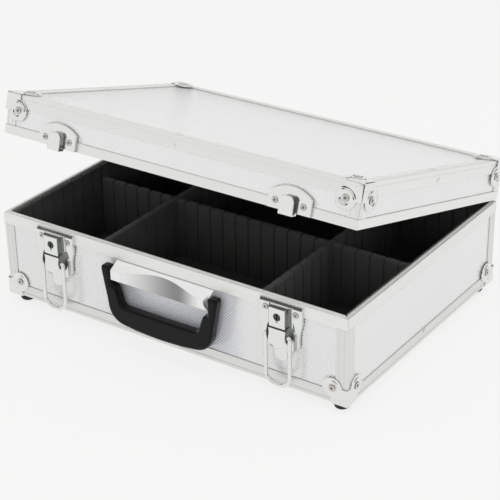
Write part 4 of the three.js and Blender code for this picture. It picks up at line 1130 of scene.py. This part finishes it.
# %% [markdown]
# ## Lid catches
# The bail hooks over a catch on the lid: a half-moon plate, riveted twice, with a strip that is bent
# out under the lid's edge and up into a hook with a round top. The plate and the hook are drawn
# from the front, and the bend between them from the side.

# %% Catch
CATCH_FACE, HOOK_FRONT, HOOK_HALF = -3.2, -9.0, 8.5
MOON_HALF, MOON_TOP, MOON_SHOULDER = 26, 27.0, 17.5
moon_rise = MOON_TOP - MOON_SHOULDER
moon_radius = (MOON_HALF ** 2 + moon_rise ** 2) / (2 * moon_rise)
half_angle = math.degrees(math.asin(MOON_HALF / moon_radius))
moon = [(-MOON_HALF, LID_BOTTOM + 0.3), (MOON_HALF, LID_BOTTOM + 0.3)]
moon += arc((0, LID_BOTTOM + MOON_TOP - moon_radius), moon_radius, 90 - half_angle, 90 + half_angle, 24)
catch = plate("catch", at_depth(moon, -0.3), (0, CATCH_FACE + 0.3, 0))
round_edges(catch, 0.6, 3, 40)
HOOK_SHEET = 1.6
hook_low, hook_top = LID_BOTTOM - 2.5, LID_BOTTOM + 17.5
hook_line = [(-HOOK_HALF, hook_low), (HOOK_HALF, hook_low), (HOOK_HALF, hook_top - 5)]
hook_line += arc((HOOK_HALF - 5, hook_top - 5), 5, 0, 90, 7)[1:]
hook_line += arc((-HOOK_HALF + 5, hook_top - 5), 5, 90, 180, 7)
hook = plate("hook", at_depth(hook_line, HOOK_FRONT), (0, HOOK_SHEET, 0))
round_edges(hook, 0.5, 3, 40)
bend_line = [(-8.4, hook_low), (-0.4, hook_low), (-0.4, LID_BOTTOM + 1), (CATCH_FACE, LID_BOTTOM + 1),
             (CATCH_FACE, hook_low + HOOK_SHEET), (-8.4, hook_low + HOOK_SHEET)]
bend = plate("bend", [(-HOOK_HALF, y, z) for y, z in bend_line], (2 * HOOK_HALF, 0, 0))
round_edges(bend, 0.3, 2, 40)
for piece in (catch, hook, bend):
    piece.data.materials.append(chrome)
hook.data.materials.append(lock_steel)
# Painted dark reflection: the upper side faces of the hook take the dark steel.
for face in hook.data.polygons:
    shoulder = face.normal.x > 0.3 and face.center.z > (hook_top - 8) * MM
    face.material_index = 1 if shoulder else 0
catch_rivets = [rivet((side * 17.0, CATCH_FACE, LID_BOTTOM + 9.0), (0, -1, 0), 3.7) for side in (-1, 1)]
catch = join("catch", [catch, hook, bend, *catch_rivets])
for side, x in (("left", -LATCH_X), ("right", LATCH_X)):
    copy = seat_on_lid(copy_to(catch, f"lid_catch_{side}_made", x))
    give(copy, chrome, "chrome", "lid", f"lid_catch_{side}")
bpy.data.objects.remove(catch, do_unlink=True)
print("catch radius", round(moon_radius, 2), "mm")

# %% [markdown]
# ## Corner caps
# Each corner of the case is held by a pressed cap: three square webs round the corner, with a round lobe
# on each that carries a rivet in a raised ring. The webs are a cube with its three inner faces
# removed, its outer edges bevelled and a wall given by Solidify. One lobe is spun as on a
# lathe, and the other two are the same lobe turned by a third round the cube's diagonal.

# %% One cap
CAP_WALL, CAP_WEB, LOBE_INSET = 1.2, 19.0, 17.5


def cap_webs(gap):
    """The three webs round a corner at the origin, with the case on the positive side."""
    low = -CAP_WALL - gap
    webs = block("webs", (low, CAP_WEB), (low, CAP_WEB), (low, CAP_WEB))
    edit(webs)
    select_faces(webs, lambda centre, normal: max(normal) > 0.9)
    bpy.ops.mesh.delete(type="FACE")
    bpy.ops.mesh.select_mode(type="EDGE")
    bpy.ops.mesh.select_all(action="DESELECT")
    bpy.ops.object.mode_set(mode="OBJECT")
    for edge in webs.data.edges:
        ends = [webs.data.vertices[index].co / MM for index in edge.vertices]
        shared = sum(1 for axis in range(3) if all(abs(end[axis] - low) < 0.01 for end in ends))
        edge.select = shared == 2
    bpy.ops.object.mode_set(mode="EDIT")
    bpy.ops.mesh.bevel(offset=1.5 * MM, segments=4, affect="EDGES")
    tidy(webs)
    wall = webs.modifiers.new("wall", "SOLIDIFY")
    wall.thickness = CAP_WALL * MM
    wall.offset = -1
    apply_modifiers(webs)
    bpy.ops.object.shade_smooth_by_angle(angle=math.radians(35))
    webs.data.materials.append(chrome)
    return webs


LOBE = [(0, -1.15), (11.7, -1.15), (12.0, -0.85), (12.0, -0.25), (11.6, 0.06), (10.1, 0.1), (9.6, 0.28),
        (9.1, 0.68), (8.4, 0.86), (7.5, 0.86), (6.7, 0.62), (5.9, 0.16), (5.2, 0.02), (0, 0.02)]


def cap_lobe(gap, riveted):
    """A lobe on the cap's lower face, facing down, with its rivet."""
    face = -CAP_WALL - gap
    centre = (LOBE_INSET, LOBE_INSET, face)
    profile = LOBE if riveted else LOBE[:6] + [(0, 0.1)]
    lobe = turned("lobe", profile, centre, (0, 0, -1), 40)
    bpy.ops.object.shade_smooth_by_angle(angle=math.radians(60))
    lobe.data.materials.append(chrome)
    if not riveted:
        return [lobe]
    pip_profile = [(0, -0.4), (0.8, -0.4), (0.8, 0.1), (0.45, 0.45), (0, 0.5)]
    pip = turned("pip", pip_profile, (3.6, 8.0, face), (0, 0, -1), 14)
    pip.data.materials.append(chrome)
    return [lobe, pip, rivet(centre, (0, 0, -1), 4.2, 1.15)]


def corner_cap(gap, riveted):
    """riveted says for the upright x face, the upright y face and the flat face whether it has a rivet."""
    parts = [cap_webs(gap)]
    for turn, with_rivet in zip((120, 240, 0), riveted):
        for part in cap_lobe(gap, with_rivet):
            part.matrix_world = Matrix.Rotation(math.radians(turn), 4, Vector((1, 1, 1)))
            parts.append(apply_place(part))
    return join("corner_cap", parts)


base_cap = corner_cap(0.1, (True, True, False))
lid_cap = corner_cap(0.3, (True, True, True))
print("cap faces", len(base_cap.data.polygons), len(lid_cap.data.polygons))


# %% Eight caps
def cap_copy(cap, name, right_side, rear, upper):
    """A copy mirrored into one corner. A mirrored mesh is inside out, so its normals are made again."""
    twin = copy_to(cap, name)
    twin.scale = (-1 if right_side else 1, -1 if rear else 1, -1 if upper else 1)
    twin.location = Vector((HALF_WIDTH if right_side else -HALF_WIDTH, CASE_DEPTH if rear else 0,
                            LID_TOP if upper else 0)) * MM
    return tidy(apply_place(twin))


for corner in CORNERS:
    rear, right_side = corner.startswith("rear"), corner.endswith("right")
    lower_cap = seat_on_base(cap_copy(base_cap, f"cap_{corner}_made", right_side, rear, False))
    give(lower_cap, chrome, "chrome", "base", f"cap_{corner}")
    upper_cap = seat_on_lid(cap_copy(lid_cap, f"lid_cap_{corner}_made", right_side, rear, True))
    give(upper_cap, chrome, "chrome", "lid", f"lid_cap_{corner}")
for cap in (base_cap, lid_cap):
    bpy.data.objects.remove(cap, do_unlink=True)
print("caps placed:", 2 * len(CORNERS))

# %% [markdown]
# ## Feet
# Four rubber feet stand under the lower caps. A foot is a body of revolution: a barrel with a rounded
# shoulder, a groove round its neck and a hollow for the screw, so its profile is spun once and the foot is
# copied to each corner.

# %% Feet
FOOT_INSET = 14.0
foot_profile = [(0, -1.4), (8.1, -1.4), (8.45, -1.8), (8.45, -4.0), (8.1, -4.6), (8.3, -5.2),
                (8.45, -8.6), (8.0, -10.2), (7.1, -11.0), (6.4, -11.28), (2.9, -11.28), (2.6, -10.9),
                (2.4, -9.6), (0, -9.6)]
foot = turned("foot", foot_profile, (0, 0, 0), (0, 0, 1), 40)
bpy.ops.object.shade_smooth_by_angle(angle=math.radians(40))
foot.data.materials.append(rubber)
for corner in CORNERS:
    rear, right_side = corner.startswith("rear"), corner.endswith("right")
    twin = copy_to(foot, f"foot_{corner}_made")
    twin.location = Vector(((1 if right_side else -1) * (HALF_WIDTH - FOOT_INSET),
                            CASE_DEPTH - FOOT_INSET if rear else FOOT_INSET, 0)) * MM
    give(seat_on_base(apply_place(twin)), rubber, "foot_rubber", "base", f"foot_{corner}")
bpy.data.objects.remove(foot, do_unlink=True)
print("feet placed:", len(CORNERS))
